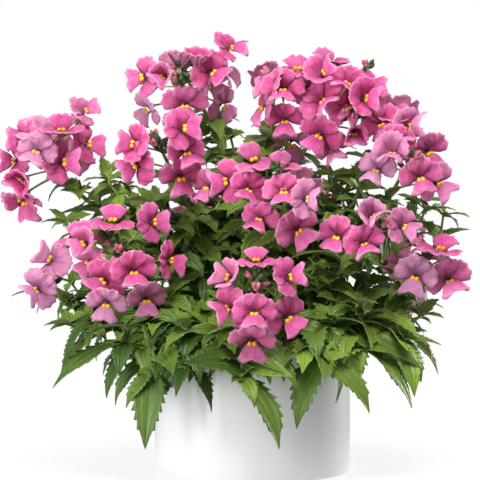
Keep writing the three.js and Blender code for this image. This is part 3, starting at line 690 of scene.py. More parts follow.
class Piece:
    """A mesh in the making, in millimetres, with its finishes."""

    def __init__(self, finishes):
        self.finishes = finishes
        self.carrier = bpy.data.meshes.new("carrier")
        self.bm = self.blank()

    def blank(self):
        bm = bmesh.new()
        bm.loops.layers.uv.new("UVMap")
        bm.verts.layers.float.new("tone")
        bm.verts.layers.float.new("lip")
        return bm

    def take(self, part, finish):
        """Joins a part. Each is made apart, because an operator is slow in a large mesh."""
        for face in part.faces:
            face.material_index = finish
        part.to_mesh(self.carrier)
        part.free()
        self.bm.from_mesh(self.carrier)

    def sheet(self, columns, rows, place, tone, lip=0.0):
        """A grid whose corner at a column and row goes where place(column, row) says, with its map."""
        part = self.blank()
        uv = part.loops.layers.uv["UVMap"]
        floats = part.verts.layers.float
        bmesh.ops.create_grid(part, x_segments=columns, y_segments=rows, size=1)
        spots = {}
        for corner in part.verts:
            column = round((corner.co.x + 1) / 2 * columns)
            row = round((corner.co.y + 1) / 2 * rows)
            corner.co, spots[corner] = place(column, row)
            corner[floats["tone"]] = tone
            corner[floats["lip"]] = lip
        for face in part.faces:
            for loop in face.loops:
                loop[uv].uv = spots[loop.vert]
        self.take(part, 0)

    def thicken(self, thickness):
        """Gives all the sheets so far a thickness, and their backs the second finish."""
        bmesh.ops.remove_doubles(self.bm, verts=self.bm.verts, dist=WELD)
        fronts = set(self.bm.faces)
        bmesh.ops.solidify(self.bm, geom=list(fronts), thickness=thickness)
        for face in self.bm.faces:
            if face not in fronts:
                face.material_index = 1

    def done(self, name, slot, *nodes):
        """Makes the object, in metres, which stands for the nodes."""
        bpy.data.meshes.remove(self.carrier)
        bmesh.ops.scale(self.bm, vec=(MM, MM, MM), verts=self.bm.verts)
        mesh = bpy.data.meshes.new(name)
        self.bm.to_mesh(mesh)
        self.bm.free()
        for finish in self.finishes:
            mesh.materials.append(finish)
        mesh.shade_smooth()
        made = bpy.data.objects.new(name, mesh)
        scene.collection.objects.link(made)
        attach(made, "root")
        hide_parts(*nodes)
        return made


print("a piece welds what is closer than", WELD, "mm")


# %% Tubes, balls and cones
def tube(piece, points, radii, sides, finish, rib=0.0):
    """A closed tube through points, with a radius at each."""
    part = piece.blank()
    around = bmesh.ops.create_circle(part, segments=sides, radius=1)["verts"]
    first = around
    if rib:
        for i, corner in enumerate(around):
            corner.co *= 1 + rib * (-1) ** i
    edges = part.edges[:]
    before = Matrix.Identity(4)
    turn = None
    for i, (point, radius) in enumerate(zip(points, radii)):
        ahead = points[min(i + 1, len(points) - 1)] - points[max(i - 1, 0)]
        if turn is None:
            turn = UP.rotation_difference(ahead)
        else:
            turn = (turn @ UP).rotation_difference(ahead) @ turn
            made = bmesh.ops.extrude_edge_only(part, edges=edges)["geom"]
            around = [item for item in made if isinstance(item, bmesh.types.BMVert)]
            edges = [item for item in made if isinstance(item, bmesh.types.BMEdge)]
        here = Matrix.Translation(point) @ turn.to_matrix().to_4x4() @ Matrix.Scale(radius, 4)
        bmesh.ops.transform(part, matrix=here @ before.inverted(), verts=around)
        before = here
    for ring in (first, around):
        bmesh.ops.contextual_create(part, geom=ring)
    bmesh.ops.recalc_face_normals(part, faces=part.faces)
    piece.take(part, finish)


def ball(piece, matrix, finish, detail=1):
    """A ball of radius 1 before its matrix."""
    part = piece.blank()
    bmesh.ops.create_icosphere(part, subdivisions=detail, radius=1, matrix=matrix)
    piece.take(part, finish)


def cone(piece, matrix, low, high, depth, sides, finish):
    """A cone that stands on the origin before its matrix, along +Z."""
    part = piece.blank()
    lifted = matrix @ Matrix.Translation((0, 0, depth / 2))
    bmesh.ops.create_cone(part, cap_ends=True, segments=sides, radius1=low, radius2=high, depth=depth,
                          matrix=lifted)
    piece.take(part, finish)


print("a tube, a ball and a cone are each made apart and then joined to their piece")

# %% [markdown]
# ## The pot
#
# A plain slip-cast pot: a straight wall, small rounded edges at the rim and the foot, and a flat
# base. One profile spun round the axis makes it. Its edges are bevelled first, because a sharp edge
# catches no light. The glaze is white, smooth and only a little uneven.

# %% Pot and glaze
POT_RADIUS = 54
POT_HEIGHT = 76
POT_WALL = 4.5
POT_FLOOR = 5
EDGE = 1.2
EDGE_CUTS = 4
POT_SIDES = 96
SHARP_ANGLE = 50

glaze = Finish("pot_glaze", Roughness=0.32, Specular_IOR_Level=0.5, Coat_Weight=0.25, Coat_Roughness=0.15)
ripple = glaze.noise(28, 2)
glaze.drive("Base Color", glaze.mix(ripple, colour(226, 226, 228), colour(222, 222, 223)))
glaze.relief(ripple, 0.0008, 0.25)

pot = Piece([glaze.material])
inner = POT_RADIUS - POT_WALL
profile = [(0, 0), (POT_RADIUS, 0), (POT_RADIUS, POT_HEIGHT), (inner, POT_HEIGHT), (inner, POT_FLOOR),
           (0, POT_FLOOR)]
outline = [pot.bm.verts.new((x, 0, z)) for x, z in profile]
for low, high in zip(outline, outline[1:]):
    pot.bm.edges.new((low, high))
bmesh.ops.bevel(pot.bm, geom=outline[1:4], offset=EDGE, segments=EDGE_CUTS, profile=0.5, affect="VERTICES",
                material=-1)
bmesh.ops.spin(pot.bm, geom=pot.bm.verts[:] + pot.bm.edges[:], axis=UP, cent=(0, 0, 0), angle=math.tau,
               steps=POT_SIDES, use_merge=True)
bmesh.ops.remove_doubles(pot.bm, verts=pot.bm.verts, dist=WELD)
bmesh.ops.recalc_face_normals(pot.bm, faces=pot.bm.faces)
shell = pot.done("pot_shell", "pot_glaze", "pot")
shell.data.set_sharp_from_angle(angle=math.radians(SHARP_ANGLE))
print("the pot has", len(shell.data.polygons), "faces")

# %% [markdown]
# ## The soil
#
# Peat with crumbs and pale grains of perlite. Most of it is under leaves, so a round plug with a
# rough top is enough. The plug is a disc that is cut finely and extruded, and noise pushes its top
# up and down. The grains are small flattened balls sunk in it.

# %% Peat
SOIL_RADIUS = 49.2
SOIL_MOUND = 3

peat = Finish("peat", Roughness=0.95, Specular_IOR_Level=0.2)
crumbs = peat.noise(900, 6, 0.7)
peat.drive("Base Color", peat.mix(crumbs.step(0.35, 0.7), colour(30, 22, 16), colour(84, 62, 44)))
peat.relief(crumbs, 0.002)
perlite = plain_finish("perlite", (236, 232, 222), (196, 190, 178), 900, Roughness=0.9)

soil = Piece([peat.material, perlite])
bmesh.ops.create_circle(soil.bm, cap_ends=True, cap_tris=True, segments=48, radius=SOIL_RADIUS)
bmesh.ops.subdivide_edges(soil.bm, edges=soil.bm.edges, cuts=7, use_grid_fill=True)
wall = bmesh.ops.extrude_face_region(soil.bm, geom=soil.bm.faces[:])["geom"]
top = [item for item in wall if isinstance(item, bmesh.types.BMVert)]
for corner in soil.bm.verts:
    corner.co.z = POT_FLOOR
for corner in top:
    out = math.hypot(corner.co.x, corner.co.y) / SOIL_RADIUS
    lump = noise.noise(corner.co * 0.25) * 0.7 + noise.noise(corner.co * 0.8) * 0.5
    corner.co.z = SOIL_TOP + SOIL_MOUND * (1 - out) + lump - 0.6
bmesh.ops.recalc_face_normals(soil.bm, faces=soil.bm.faces)
print("the plug of peat has", len(soil.bm.faces), "faces")

# %% Grains in the soil
GRAINS = 90

for i in range(GRAINS):
    out = SOIL_RADIUS * 0.96 * math.sqrt(chance(i, 1))
    spot = heading(360 * chance(i, 2)) * out
    spot.z = SOIL_TOP + SOIL_MOUND * (1 - out / SOIL_RADIUS) - 0.4
    size = 0.6 + 1.1 * chance(i, 3)
    shape = Matrix.Rotation(i, 4, "X") @ Matrix.Diagonal((size, size * 0.8, size, 1))
    ball(soil, Matrix.Translation(spot) @ shape, 1)
ground = soil.done("soil_peat", "peat", "soil")
print("the soil has", len(ground.data.polygons), "faces")

# %% [markdown]
# ## One leaf
#
# The spine of a leaf rises from the stem and then bends down in an arc. The blade is a grid along
# it, of seven columns in a large leaf and fewer in a small one. Its rows stand where the teeth need
# them: at each notch and at each point. The outer columns follow the teeth, and the inner ones the
# smooth outline up to the drawn-out tip. The two halves fold up, and the edge waves.

# %% The arc of a leaf
LEAF_WIDTH = 0.46


class Arc:
    """The arc that a leaf follows, and the way that its face is rolled."""

    def __init__(self, base, azimuth, rise, bend, length, roll, sink):
        self.base = base
        self.length = length
        self.sink = sink
        self.out = heading(azimuth)
        self.side = self.out.cross(UP)
        self.start = math.radians(rise)
        self.turn = math.radians(bend)
        self.tilt = math.radians(roll)

    def spot(self, station, wide, lift, twist=0):
        """The place at a share of the length, this far to the side and above the face."""
        angle = self.start - self.turn * station
        reach = self.length * (math.sin(self.start) - math.sin(angle)) / self.turn
        height = self.length * (math.cos(angle) - math.cos(self.start)) / self.turn
        normal = self.out * -math.sin(angle) + UP * math.cos(angle)
        lean = self.tilt + twist * station
        sideways = self.side * math.cos(lean) + normal * math.sin(lean)
        face = normal * math.cos(lean) - self.side * math.sin(lean)
        spine = self.base + self.out * (reach - self.sink) + UP * height
        return spine + sideways * wide + face * lift


print("a leaf is", LEAF_WIDTH, "of its length wide")

# %% A toothed leaf
LARGE_LEAF = 25
SMALL_LEAF = 15
FINE_SINK = 0.4
FINE_OUTLINE = 0.62
FINE_FOLD = 0.24
EDGE_WAVE = 0.11
LEAF_TWIST = 22
FIRST_NOTCH = 0.1
NOTCHES_SPAN = 0.66
NOTCH_WIDTH = 0.78
POINT_WIDTH = 1.06


def leaf_columns(length):
    if length > LARGE_LEAF:
        return (-1, -0.66, -0.33, 0, 0.33, 0.66, 1)
    return (-1, -0.5, 0, 0.5, 1) if length > SMALL_LEAF else (-1, 0, 1)


def leaf_rows(teeth):
    """Where the rows stand along a leaf, and how far its edge stands out there and reaches forward."""
    rows = [(0, 0.0, 0), (0.05, 0.95, 0)]
    step = NOTCHES_SPAN / teeth
    for tooth in range(teeth):
        notch = FIRST_NOTCH + tooth * step
        rows += [(notch, NOTCH_WIDTH, 0), (notch + 0.6 * step, POINT_WIDTH, 0.4 * step)]
    return rows + [(0.77, 0.8, 0), (0.85, 0.74, 0), (0.93, 0.8, 0), (1, 0.0, 0)]


def leaf(piece, base, azimuth, rise, bend, length, roll, teeth, tone, seed):
    """One leaf, whose two halves fold up and whose edge waves; tone is 0 when old and 1 when young."""
    arc = Arc(base, azimuth, rise, bend, length, roll, FINE_SINK)
    columns = leaf_columns(length)
    rows = leaf_rows(teeth)
    wave = math.tau * chance(seed, 31)
    twist = math.radians(spread(seed, 32, LEAF_TWIST))

    def place(column, row):
        station, edge, forward = rows[row]
        across = columns[column]
        outer = abs(across) ** 3
        station = station + forward * outer
        reach_out = 1 + (edge - 1) * (outer if 0 < station < 1 else 1)
        half_width = LEAF_WIDTH * length / 2
        wide = across * reach_out * half_width * math.sin(math.pi * min(station, 1) ** FINE_OUTLINE)
        wavy = EDGE_WAVE * abs(wide) * across**2 * math.sin(9 * station + wave + across)
        spot = arc.spot(station, wide, FINE_FOLD * abs(wide) + wavy, twist)
        return spot, ((across + 1) / 2, station)

    piece.sheet(len(columns) - 1, len(rows) - 1, place, tone)


print("a leaf of six teeth has", len(leaf_rows(6)), "rows")

# %% [markdown]
# ## Leaves as their solids have them
#
# Where a solid's leaf was turned or shortened to stand clear of others, its corners tell. The tip
# and the teeth of each guess are held against them, as the outlines of the blooms were. A leaf that
# isn't found was left out of the solid, and is left out here.

# %% Leaves found in their solids
SHARES = (1, 0.78, 0.6)
SHIFTS = (0, 20, -20, 40, -40, 60, -60)
SOLID_SINK = 0.8
SOLID_OUTLINE = 0.72
SOLID_FOLD = 0.28
TEETH_START = 0.1
TEETH_SPAN = 0.85
TOOTH_POINT = 0.72
LEAST_FIT = 0.25


def solid_leaf_corners(base, azimuth, rise, bend, length, roll, teeth):
    """The tip and the points of the teeth of a solid leaf."""
    arc = Arc(base, azimuth, rise, bend, length, roll, SOLID_SINK)
    step = TEETH_SPAN / teeth
    stations = [TEETH_START + (tooth + TOOTH_POINT) * step for tooth in range(teeth)]
    points = []
    for station, sign in [(1, 0)] + [(s, sign) for s in stations for sign in (1, -1)]:
        wide = sign * LEAF_WIDTH * length / 2 * math.sin(math.pi * station**SOLID_OUTLINE)
        points.append(arc.spot(station, wide, SOLID_FOLD * abs(wide)))
    return points


def grown(corners, plan):
    """The plan of a leaf as it was turned or shortened, or None where it was left out."""
    guesses = [
        dict(plan, azimuth=plan["azimuth"] + shift, length=plan["length"] * share)
        for share in SHARES for shift in SHIFTS]
    guess, share = corners.best(guesses, lambda plan_of_leaf: solid_leaf_corners(**plan_of_leaf))
    return guess if share > LEAST_FIT else None


print(len(SHARES) * len(SHIFTS), "ways to turn and shorten a leaf")

# %% [markdown]
# ## Young growth
#
# Between the leaves of the solids stand tufts of young leaves and short side shoots, which make the
# plant dense. Each is left out where it would end in a bloom, so the places of all the blooms are
# kept in a tree that finds the nearest one quickly. Leaves roll their faces outwards, towards the
# light.

# %% Room between the blooms
DENSE_BACK = 35
BLOOM_ROOM = 10

bloom_spots = [matrix.translation for head in heads for matrix, *_ in blooms[head.number]]
bloom_tree = KDTree(len(bloom_spots))
for i, spot in enumerate(bloom_spots):
    bloom_tree.insert(spot, i)
bloom_tree.balance()


def is_clear(spot, room=BLOOM_ROOM):
    """Whether no bloom is nearer than this."""
    return bloom_tree.find(spot)[2] > room


def outward_roll(base, azimuth, most=45):
    """The roll that turns a leaf's face away from the dense back of the plant."""
    outward = Vector((base.x, base.y - DENSE_BACK, 0)).normalized()
    return -most * heading(azimuth).cross(UP).dot(outward)


print("the lowest bloom is at", round(min(spot.z for spot in bloom_spots)), "mm")

# %% Tufts, sprigs and twigs
NODE_GAP = 7


def tuft(piece, base, azimuth, size, seed, count):
    """A tuft of young leaves in the angle of a leaf."""
    for i in range(count):
        turned = azimuth + GOLDEN_ANGLE * i + spread(seed + i, 41, 20)
        length = size * (1 - 0.1 * i) + spread(seed + i, 42, 1.5)
        tip = base + heading(turned) * length * 0.8 + UP * length * 0.4
        if is_clear(tip):
            roll = outward_roll(base, turned) + spread(seed + i, 43, 20)
            leaf(piece, base, turned, 22 + 14 * i, 40, length, roll, 2, 0.35 + 0.1 * i, seed + i)


def sprig(piece, base, tip, seed, size):
    """A side shoot from its base to its tip, with crossed pairs of leaves that get smaller."""
    if not is_clear(tip):
        return None
    reach = (tip - base).length
    path = Path(base, base.lerp(tip, 0.4), tip - UP * 0.3 * reach, tip)
    nodes = max(round(reach / NODE_GAP), 2)
    own = math.degrees(math.atan2(tip.x - base.x, base.y - tip.y))
    points = [path.at(i / nodes) for i in range(nodes + 1)]
    for i, point in enumerate(points[1:], 1):
        for side in (0, 1):
            item = seed + 2 * i + side
            turned = own + 90 * i + 180 * side + spread(item, 44, 25)
            length = size * (1.1 - 0.5 * i / nodes) + spread(item, 45, 2)
            if is_clear(point + heading(turned) * length * 0.85):
                rise = 20 + spread(item, 46, 35)
                bend = 75 + spread(item, 47, 35)
                roll = outward_roll(point, turned) + spread(item, 48, 20)
                teeth = 3 if length > SMALL_LEAF else 2
                tone = 0.15 + 0.6 * chance(item, 49)
                leaf(piece, point, turned, rise, bend, length, roll, teeth, tone, item)
    tuft(piece, tip, own, 0.7 * size, seed + 50, 3)
    return points


def twig(piece, base, azimuth, rise, length, seed, size):
    """A sprig that is given by the way it goes."""
    direction = heading(azimuth) * math.cos(math.radians(rise)) + UP * math.sin(math.radians(rise))
    return sprig(piece, base, base + direction * length, seed, size)


print("side shoots have a pair of leaves every", NODE_GAP, "mm")

# %% [markdown]
# ## Leafy shoots
#
# Each shoot over the rim keeps the leaves of its solid, with finer teeth. Six of them are set as the
# real plant's most visible leaves hang over the rim, and three leaves are added in gaps there.
# Smaller leaves between them fill the skirt of the plant. The shoot itself is a thin ribbed tube.

# %% Leaves over the rim
HANGING = {
    1: ((-90, -38, 88), -75, -40, 40, 28),
    2: ((-64, -46, 74), -60, -25, 60, 34),
    7: ((80, -36, 76), 26, -25, 60, 36),
}
RESHAPED = {
    (1, 0): dict(azimuth=-78, rise=-10, length=49, tone=0.1),
    (2, 1): dict(azimuth=-22, rise=-58, bend=28, length=45, roll=0, tone=0.12),
    (4, 0): dict(azimuth=60, length=46, tone=0.28),
    (5, 0): dict(azimuth=78, rise=-23, length=42, roll=-42, tone=0.36),
    (5, 1): dict(azimuth=-40, length=44, tone=0.12),
    (6, 1): dict(azimuth=80, rise=-25, length=43, roll=-5, tone=0.4),
}
print(len(RESHAPED), "leaves are reshaped and", len(HANGING), "are added")

# %% The leaves of a shoot
SHOOT_SEED = 39
SHOOT_ROLL = 14
LONG_LEAF = 33
MORE_LEAVES = 9
FIRST_MORE = 0.35
MORE_STEP = 0.07
MORE_LENGTH = 31
TIP_ROOM = 11
MIDDLE_ROOM = 9


def tone_and_painted_side_light(base, draw):
    """A leaf's tone from its draw, and painted light: leaves are painted paler to the right, away from the
    key light, and darker to the left, where it falls.
    """
    # The term in x is painted light: it pales the leaves on the right and darkens those on the left.
    return min(max(0.25 + 0.7 * (draw - 0.5) + 0.004 * base.x, 0), 1)


def kept_leaves(piece, shoot, chords, leaves, own):
    """The leaves of a shoot's solid, and the two above the rim."""
    seed = SHOOT_SEED + shoot
    corners = Corners(f"shoot_{shoot:02d}")
    plans = list(leaves) + [(along, own + turn, *rest) for along, turn, *rest in RIM_LEAVES]
    for j, (along, azimuth, rise, bend, length) in enumerate(plans):
        plan = grown(corners, dict(
            base=on_chords(chords, along), azimuth=azimuth, rise=rise, bend=bend, length=length,
            roll=spread(seed, j, SHOOT_ROLL), teeth=4 if length > LONG_LEAF and j < len(leaves) else 3))
        if plan:
            plan.update(teeth=6, tone=tone_and_painted_side_light(plan["base"], chance(seed, 20 + j)))
            plan.update(RESHAPED.get((shoot, j), {}))
            leaf(piece, seed=10 * seed + j, **plan)


def more_leaves(piece, seed, chords, own):
    """Leaves between those of the solid, to both sides in turn."""
    for j in range(MORE_LEAVES):
        base = on_chords(chords, FIRST_MORE + MORE_STEP * j)
        azimuth = own + (1 if j % 2 else -1) * (25 + 65 * chance(seed, 60 + j))
        length = MORE_LENGTH + 12 * chance(seed, 70 + j)
        end = base + heading(azimuth) * 0.8 * length
        if is_clear(end, TIP_ROOM) and is_clear(base.lerp(end, 0.5), MIDDLE_ROOM):
            rise = -2 + spread(seed, 80 + j, 25)
            bend = 52 + spread(seed, 85 + j, 40)
            roll = outward_roll(base, azimuth) + spread(seed, 90 + j, 20)
            tone = tone_and_painted_side_light(base, chance(seed, 95 + j))
            leaf(piece, base, azimuth, rise, bend, length, roll, 6, tone, 10 * seed + 20 + j)


print("a shoot gets up to", MORE_LEAVES, "leaves between those of its solid")

# %% Shoots with their leaves
LEAF_FINISHES = [leaf_face, leaf_back, stem_green]
STEM_FINISH = 2
LEAF_THICKNESS = 0.35
TWIG_RADIUS = 0.8
STEM_SIDES = 12
STEM_RIB = 0.07
SHOOT_RADII = (1.4, 0.8)
SHOOT_RINGS = 16


def leafy_piece(piece, name, points, ends, twigs):
    """Thickens the leaves of a piece, adds its stem and twigs, and makes its object."""
    piece.thicken(LEAF_THICKNESS)
    thick, thin = ends
    radii = [thick + (thin - thick) * (i / (len(points) - 1)) for i in range(len(points))]
    tube(piece, points, radii, STEM_SIDES, STEM_FINISH, STEM_RIB)
    for spots in filter(None, twigs):
        tube(piece, spots, [TWIG_RADIUS] * len(spots), 6, STEM_FINISH)
    return piece.done(f"leafy_{name}", "foliage", name)


for shoot, (tip, leaves) in enumerate(SHOOTS, 1):
    seed = SHOOT_SEED + shoot
    tip = Vector(tip)
    path = shoot_path(tip)
    chords = path.chords()
    own = math.degrees(math.atan2(tip.x, -tip.y))
    piece = Piece(LEAF_FINISHES)
    kept_leaves(piece, shoot, chords, leaves, own)
    more_leaves(piece, seed, chords, own)
    if shoot in HANGING:
        base, azimuth, rise, bend, length = HANGING[shoot]
        base = Vector(base)
        tone = tone_and_painted_side_light(base, chance(seed, 130))
        roll = outward_roll(base, azimuth, 25)
        leaf(piece, base, azimuth, rise, bend, length, roll, 7, tone, 10 * seed + 140)
    tuft(piece, on_chords(chords, 1), own, 17, 100 * seed, 5)
    twigs = [
        twig(piece, on_chords(chords, along), own + turn, 20, 16, 1000 * seed + round(turn), 27)
        for along, turn in ((0.4, 70), (0.65, -70))]
    points = [path.at(k / SHOOT_RINGS) for k in range(SHOOT_RINGS + 1)]
    made = leafy_piece(piece, f"shoot_{shoot:02d}", points, SHOOT_RADII, twigs)
print("the last shoot has", len(made.data.polygons), "faces")

# %% [markdown]
# ## Leafy stems
#
# Leaves stand on a stem in opposite pairs, each pair across the one below. The pairs of the solids
# are kept, and pairs of smaller leaves, tufts and twigs are set between them, so that the plant is
# as dense as a real one. Sprigs fill the largest gaps between the heads; each is given by where it
# leaves its stem, where it ends and the size of its leaves.

# %% Pairs of the solid stems
FIRST_PAIR = 0.22
LAST_PAIR = 0.92
PAIR_RISE = 30
PAIR_BEND = 65
PAIR_LENGTH = 42
PAIR_SHRINK = 4


def kept_pairs(piece, head, chords, turned):
    """The pairs of leaves of a stem's solid; returns how many leaves it has."""
    number = head.number
    corners = Corners(f"stem_{number:02d}")
    kept = 0
    for pair in range(head.pairs):
        along = FIRST_PAIR + (LAST_PAIR - FIRST_PAIR) * pair / (head.pairs - 1)
        for side in (0, 1):
            item = 2 * pair + side
            plan = grown(corners, dict(
                base=on_chords(chords, along),
                azimuth=turned + 90 * pair + 180 * side + spread(number, 60 + item, 15),
                rise=PAIR_RISE + spread(number, 70 + item, 15),
                bend=PAIR_BEND + spread(number, 80 + item, 20),
                length=PAIR_LENGTH - PAIR_SHRINK * pair + spread(number, 90 + item, 4),
                roll=spread(number, 100 + item, 20),
                teeth=3))
            if plan:
                kept += 1
                plan.update(teeth=6, tone=0.16 + 0.4 * chance(number, 120 + item))
                leaf(piece, seed=10 * number + item, **plan)
    return kept


print("a solid stem in front has up to", 2 * max(head.pairs for head in heads), "leaves")

# %% Pairs between them
LEVEL_GAP = 8.5
LOWEST_LEVEL = 0.12
LEVELS_SPAN = 0.86
LEVEL_RISE = 22
LEVEL_BEND = 80
LEVEL_LENGTH = 39
LEVEL_SHRINK = 22
FAR_ROOM = 12
LAST_TWIG = 0.8


def more_pairs(piece, head, chords, turned):
    """Pairs between those of the solid, with tufts and twigs in turn; returns the twigs."""
    number = head.number
    levels = round(head.path.length / LEVEL_GAP)
    twigs = []
    for level in range(levels):
        along = LOWEST_LEVEL + LEVELS_SPAN * level / (levels - 1)
        base = on_chords(chords, along)
        for side in (0, 1):
            item = 2 * level + side
            azimuth = turned + 45 + 90 * level + 180 * side + spread(number, 150 + item, 25)
            length = LEVEL_LENGTH - LEVEL_SHRINK * along + spread(number, 180 + item, 4)
            far = base + heading(azimuth) * 0.85 * length
            if is_clear(far, FAR_ROOM) and is_clear(base + (far - base) * 0.6, MIDDLE_ROOM):
                rise = LEVEL_RISE + spread(number, 210 + item, 38)
                bend = LEVEL_BEND + spread(number, 225 + item, 35)
                roll = outward_roll(base, azimuth) + spread(number, 240 + item, 20)
                teeth = 5 if length > LARGE_LEAF else 3
                tone = 0.12 + 0.5 * chance(number, 270 + item)
                leaf(piece, base, azimuth, rise, bend, length, roll, teeth, tone, 10 * number + 30 + item)
        if level % 2 == 0:
            tuft(piece, base, turned + 90 * level, 16 - 6 * along, 1000 * number + 10 * level, 3)
        elif along < LAST_TWIG:
            rise = 35 + spread(number, 300 + level, 15)
            twigs.append(twig(piece, base, turned + 70 * level, rise, 30 - 16 * along,
                              2000 * number + 100 * level, 22 - 8 * along))
    return twigs


print("the first stem has leaves at", round(heads[0].path.length / LEVEL_GAP), "levels")

# %% Stems with their leaves
STEM_RADII = (1.7, 1.15)
STEM_RINGS = 20
SPRIGS = {
    1: [(0.5, (-74, -8, 134), 26), (0.6, (-79, -6, 162), 26), (0.5, (-62, 0, 148), 26),
        (0.6, (-103, -16, 140), 24)],
    2: [(0.6, (-10, -4, 170), 24), (0.45, (-52, 0, 150), 26)],
    3: [(0.5, (-60, -34, 130), 26), (0.6, (-56, -24, 152), 24), (0.62, (-80, -14, 168), 24)],
    4: [(0.62, (8, -12, 176), 22), (0.7, (-12, 12, 184), 20)],
    5: [(0.5, (58, -16, 158), 24), (0.45, (44, -2, 165), 24)],
    6: [(0.55, (95, -10, 146), 29), (0.5, (90, 8, 148), 25)],
    7: [(0.5, (62, -36, 122), 22), (0.6, (72, -22, 150), 20)],
    9: [(0.5, (34, -40, 118), 22)],
    11: [(0.6, (-100, -22, 84), 26), (0.7, (-100, 4, 104), 26)],
    13: [(0.6, (58, -52, 100), 22), (0.5, (60, -14, 106), 28)],
    14: [(0.6, (92, -18, 88), 26), (0.5, (82, -20, 106), 26), (0.8, (105, -12, 143), 26)],
}

for head in heads:
    number = head.number
    name = f"stem_{number:02d}"
    chords = head.path.chords()
    turned = 360 * chance(number, 50)
    piece = Piece(LEAF_FINISHES)
    kept = kept_pairs(piece, head, chords, turned)
    twigs = more_pairs(piece, head, chords, turned)
    for along, tip, size in SPRIGS.get(number, []):
        twigs.append(sprig(piece, on_chords(chords, along), Vector(tip), 3000 * number + round(tip[0]), size))
    points = [head.path.at(k / STEM_RINGS) for k in range(STEM_RINGS + 1)]
    points.append(head.joint + head.along * 0.5)
    made = leafy_piece(piece, name, points, STEM_RADII, twigs)
    print(name, "keeps", kept, "solid leaves and has", len(made.data.polygons), "faces")

# %% [markdown]
# ## One bloom
#
# A bloom has four upper lobes, round with a hint of corners, and a broad lip that juts forward and
# droops at its two corners. A square grid is rounded to a disc for each lobe, so no face is pinched
# at its tip. Each lobe rises in front of the throat and curls back to its end. A bloom that isn't
# fully open has its lobes turned forward.

# %% The lobes of a bloom
THROAT = Vector((0, 0.6, -2))
NECK = Vector((0, 1, -6))
SQUARENESS = 0.8
LOBE_START = 0.6
LOBE_RISE = 2.6
RIM_WAVES = 9
RUFFLES = 7


def rounded(column, row, count):
    """The square grid's corner on a slightly square disc, from -1 to 1."""
    x, y = 2 * column / count - 1, 2 * row / count - 1
    return x * math.sqrt(1 - SQUARENESS * y * y / 2), y * math.sqrt(1 - SQUARENESS * x * x / 2)


def lobe(piece, matrix, angle, length, width, layer, fold, curl, cup, seed, tone, count):
    """An upper lobe at an angle from straight up; its layer, fold, curl and cup shape its depth."""
    turn = math.radians(angle)
    outward = Vector((math.sin(turn), math.cos(turn), 0))
    sideways = Vector((math.cos(turn), -math.sin(turn), 0))
    phase = math.tau * chance(seed, 11)
    ruffle = 0.35 + 0.35 * chance(seed, 12)

    def place(column, row):
        x, y = rounded(column, row, count)
        along = (y + 1) / 2
        rim = max(0, math.hypot(x, y) - 0.7) * math.sin(RIM_WAVES * math.atan2(x, y) + phase)
        taper = 0.45 + 0.55 * smooth(along / 0.8) + 0.12 * rim
        reach = LOBE_START + length * along * (1 + 0.12 * rim)
        height = layer + LOBE_RISE * smooth(2.4 * along) - curl * along**3
        height += ruffle * along**3 * math.sin(RUFFLES * math.atan2(x, 1.2 * along) + phase)
        height += (cup * x * x - 0.25 * math.cos(math.tau * x)) * smooth(1.5 * along)
        lean = fold * smooth(1.5 * along)
        spot = THROAT + sideways * (x * width / 2 * taper)
        spot += outward * (reach * math.cos(lean)) + Vector((0, 0, height + reach * math.sin(lean)))
        return matrix @ spot, ((x + 1) / 2, along)

    piece.sheet(count, count, place, tone)


print("a lobe of eight squares reaches out to", [round(c, 2) for c in rounded(8, 8, 8)])

# %% The lip and the petals together
LIP_TILT = 40
LIP_TILT_SPREAD = 38
LIP_ROOT = 2.6
LIP_FLARE = 7.0
LIP_LENGTH = 9.2
LIP_CORNERS = 1.4
LIP_WAVES = 9
FOLDED = 70
SIDE_LOBE = dict(angle=76, length=12.4, width=13.4)
UPPER_LOBE = dict(angle=20, length=11.5, width=9.8)


def lip(piece, matrix, tilt, seed, tone, count, rounding):
    """A fan that juts forward by its tilt, with drooping corners, a notched end and a waved edge."""
    columns, rows = count + 2, count - 1
    phase = math.tau * chance(seed, 21)
    droop = (3.6 + 2.6 * chance(seed, 22)) * (1 - 0.5 * rounding)
    notch = (0.3 + 0.8 * chance(seed, 24)) * (1 - 0.8 * rounding)

    def place(column, row):
        x, along = 1 - 2 * column / columns, row / rows
        end = max(0, along - 0.6) / 0.4
        half = LIP_ROOT + LIP_FLARE * along ** (0.9 - 0.25 * rounding)
        half *= 1 - (0.2 + 0.2 * rounding) * end**3
        corner = 1.9 * abs(x) ** 5 + 2.6 * rounding * abs(x) ** 3
        down = (LIP_LENGTH + LIP_CORNERS * abs(x)) * along - corner * end
        down -= notch * math.exp(-30 * x * x) * along**3
        down += 0.35 * math.sin(LIP_WAVES * x + phase) * along**3
        lift = 0.8 * math.sin(math.pi * min(along / 0.5, 1)) - droop * abs(x) ** 1.9 * along**1.2
        lift -= along**3
        lift += 0.45 * along**2 * math.sin(8 * x + phase)
        spot = Vector((x * half, -0.7 - down * math.cos(tilt) + lift * math.sin(tilt),
                       0.2 + down * math.sin(tilt) + lift * math.cos(tilt)))
        return matrix @ spot, (column / columns, along)

    piece.sheet(columns, rows, place, tone, lip=1)


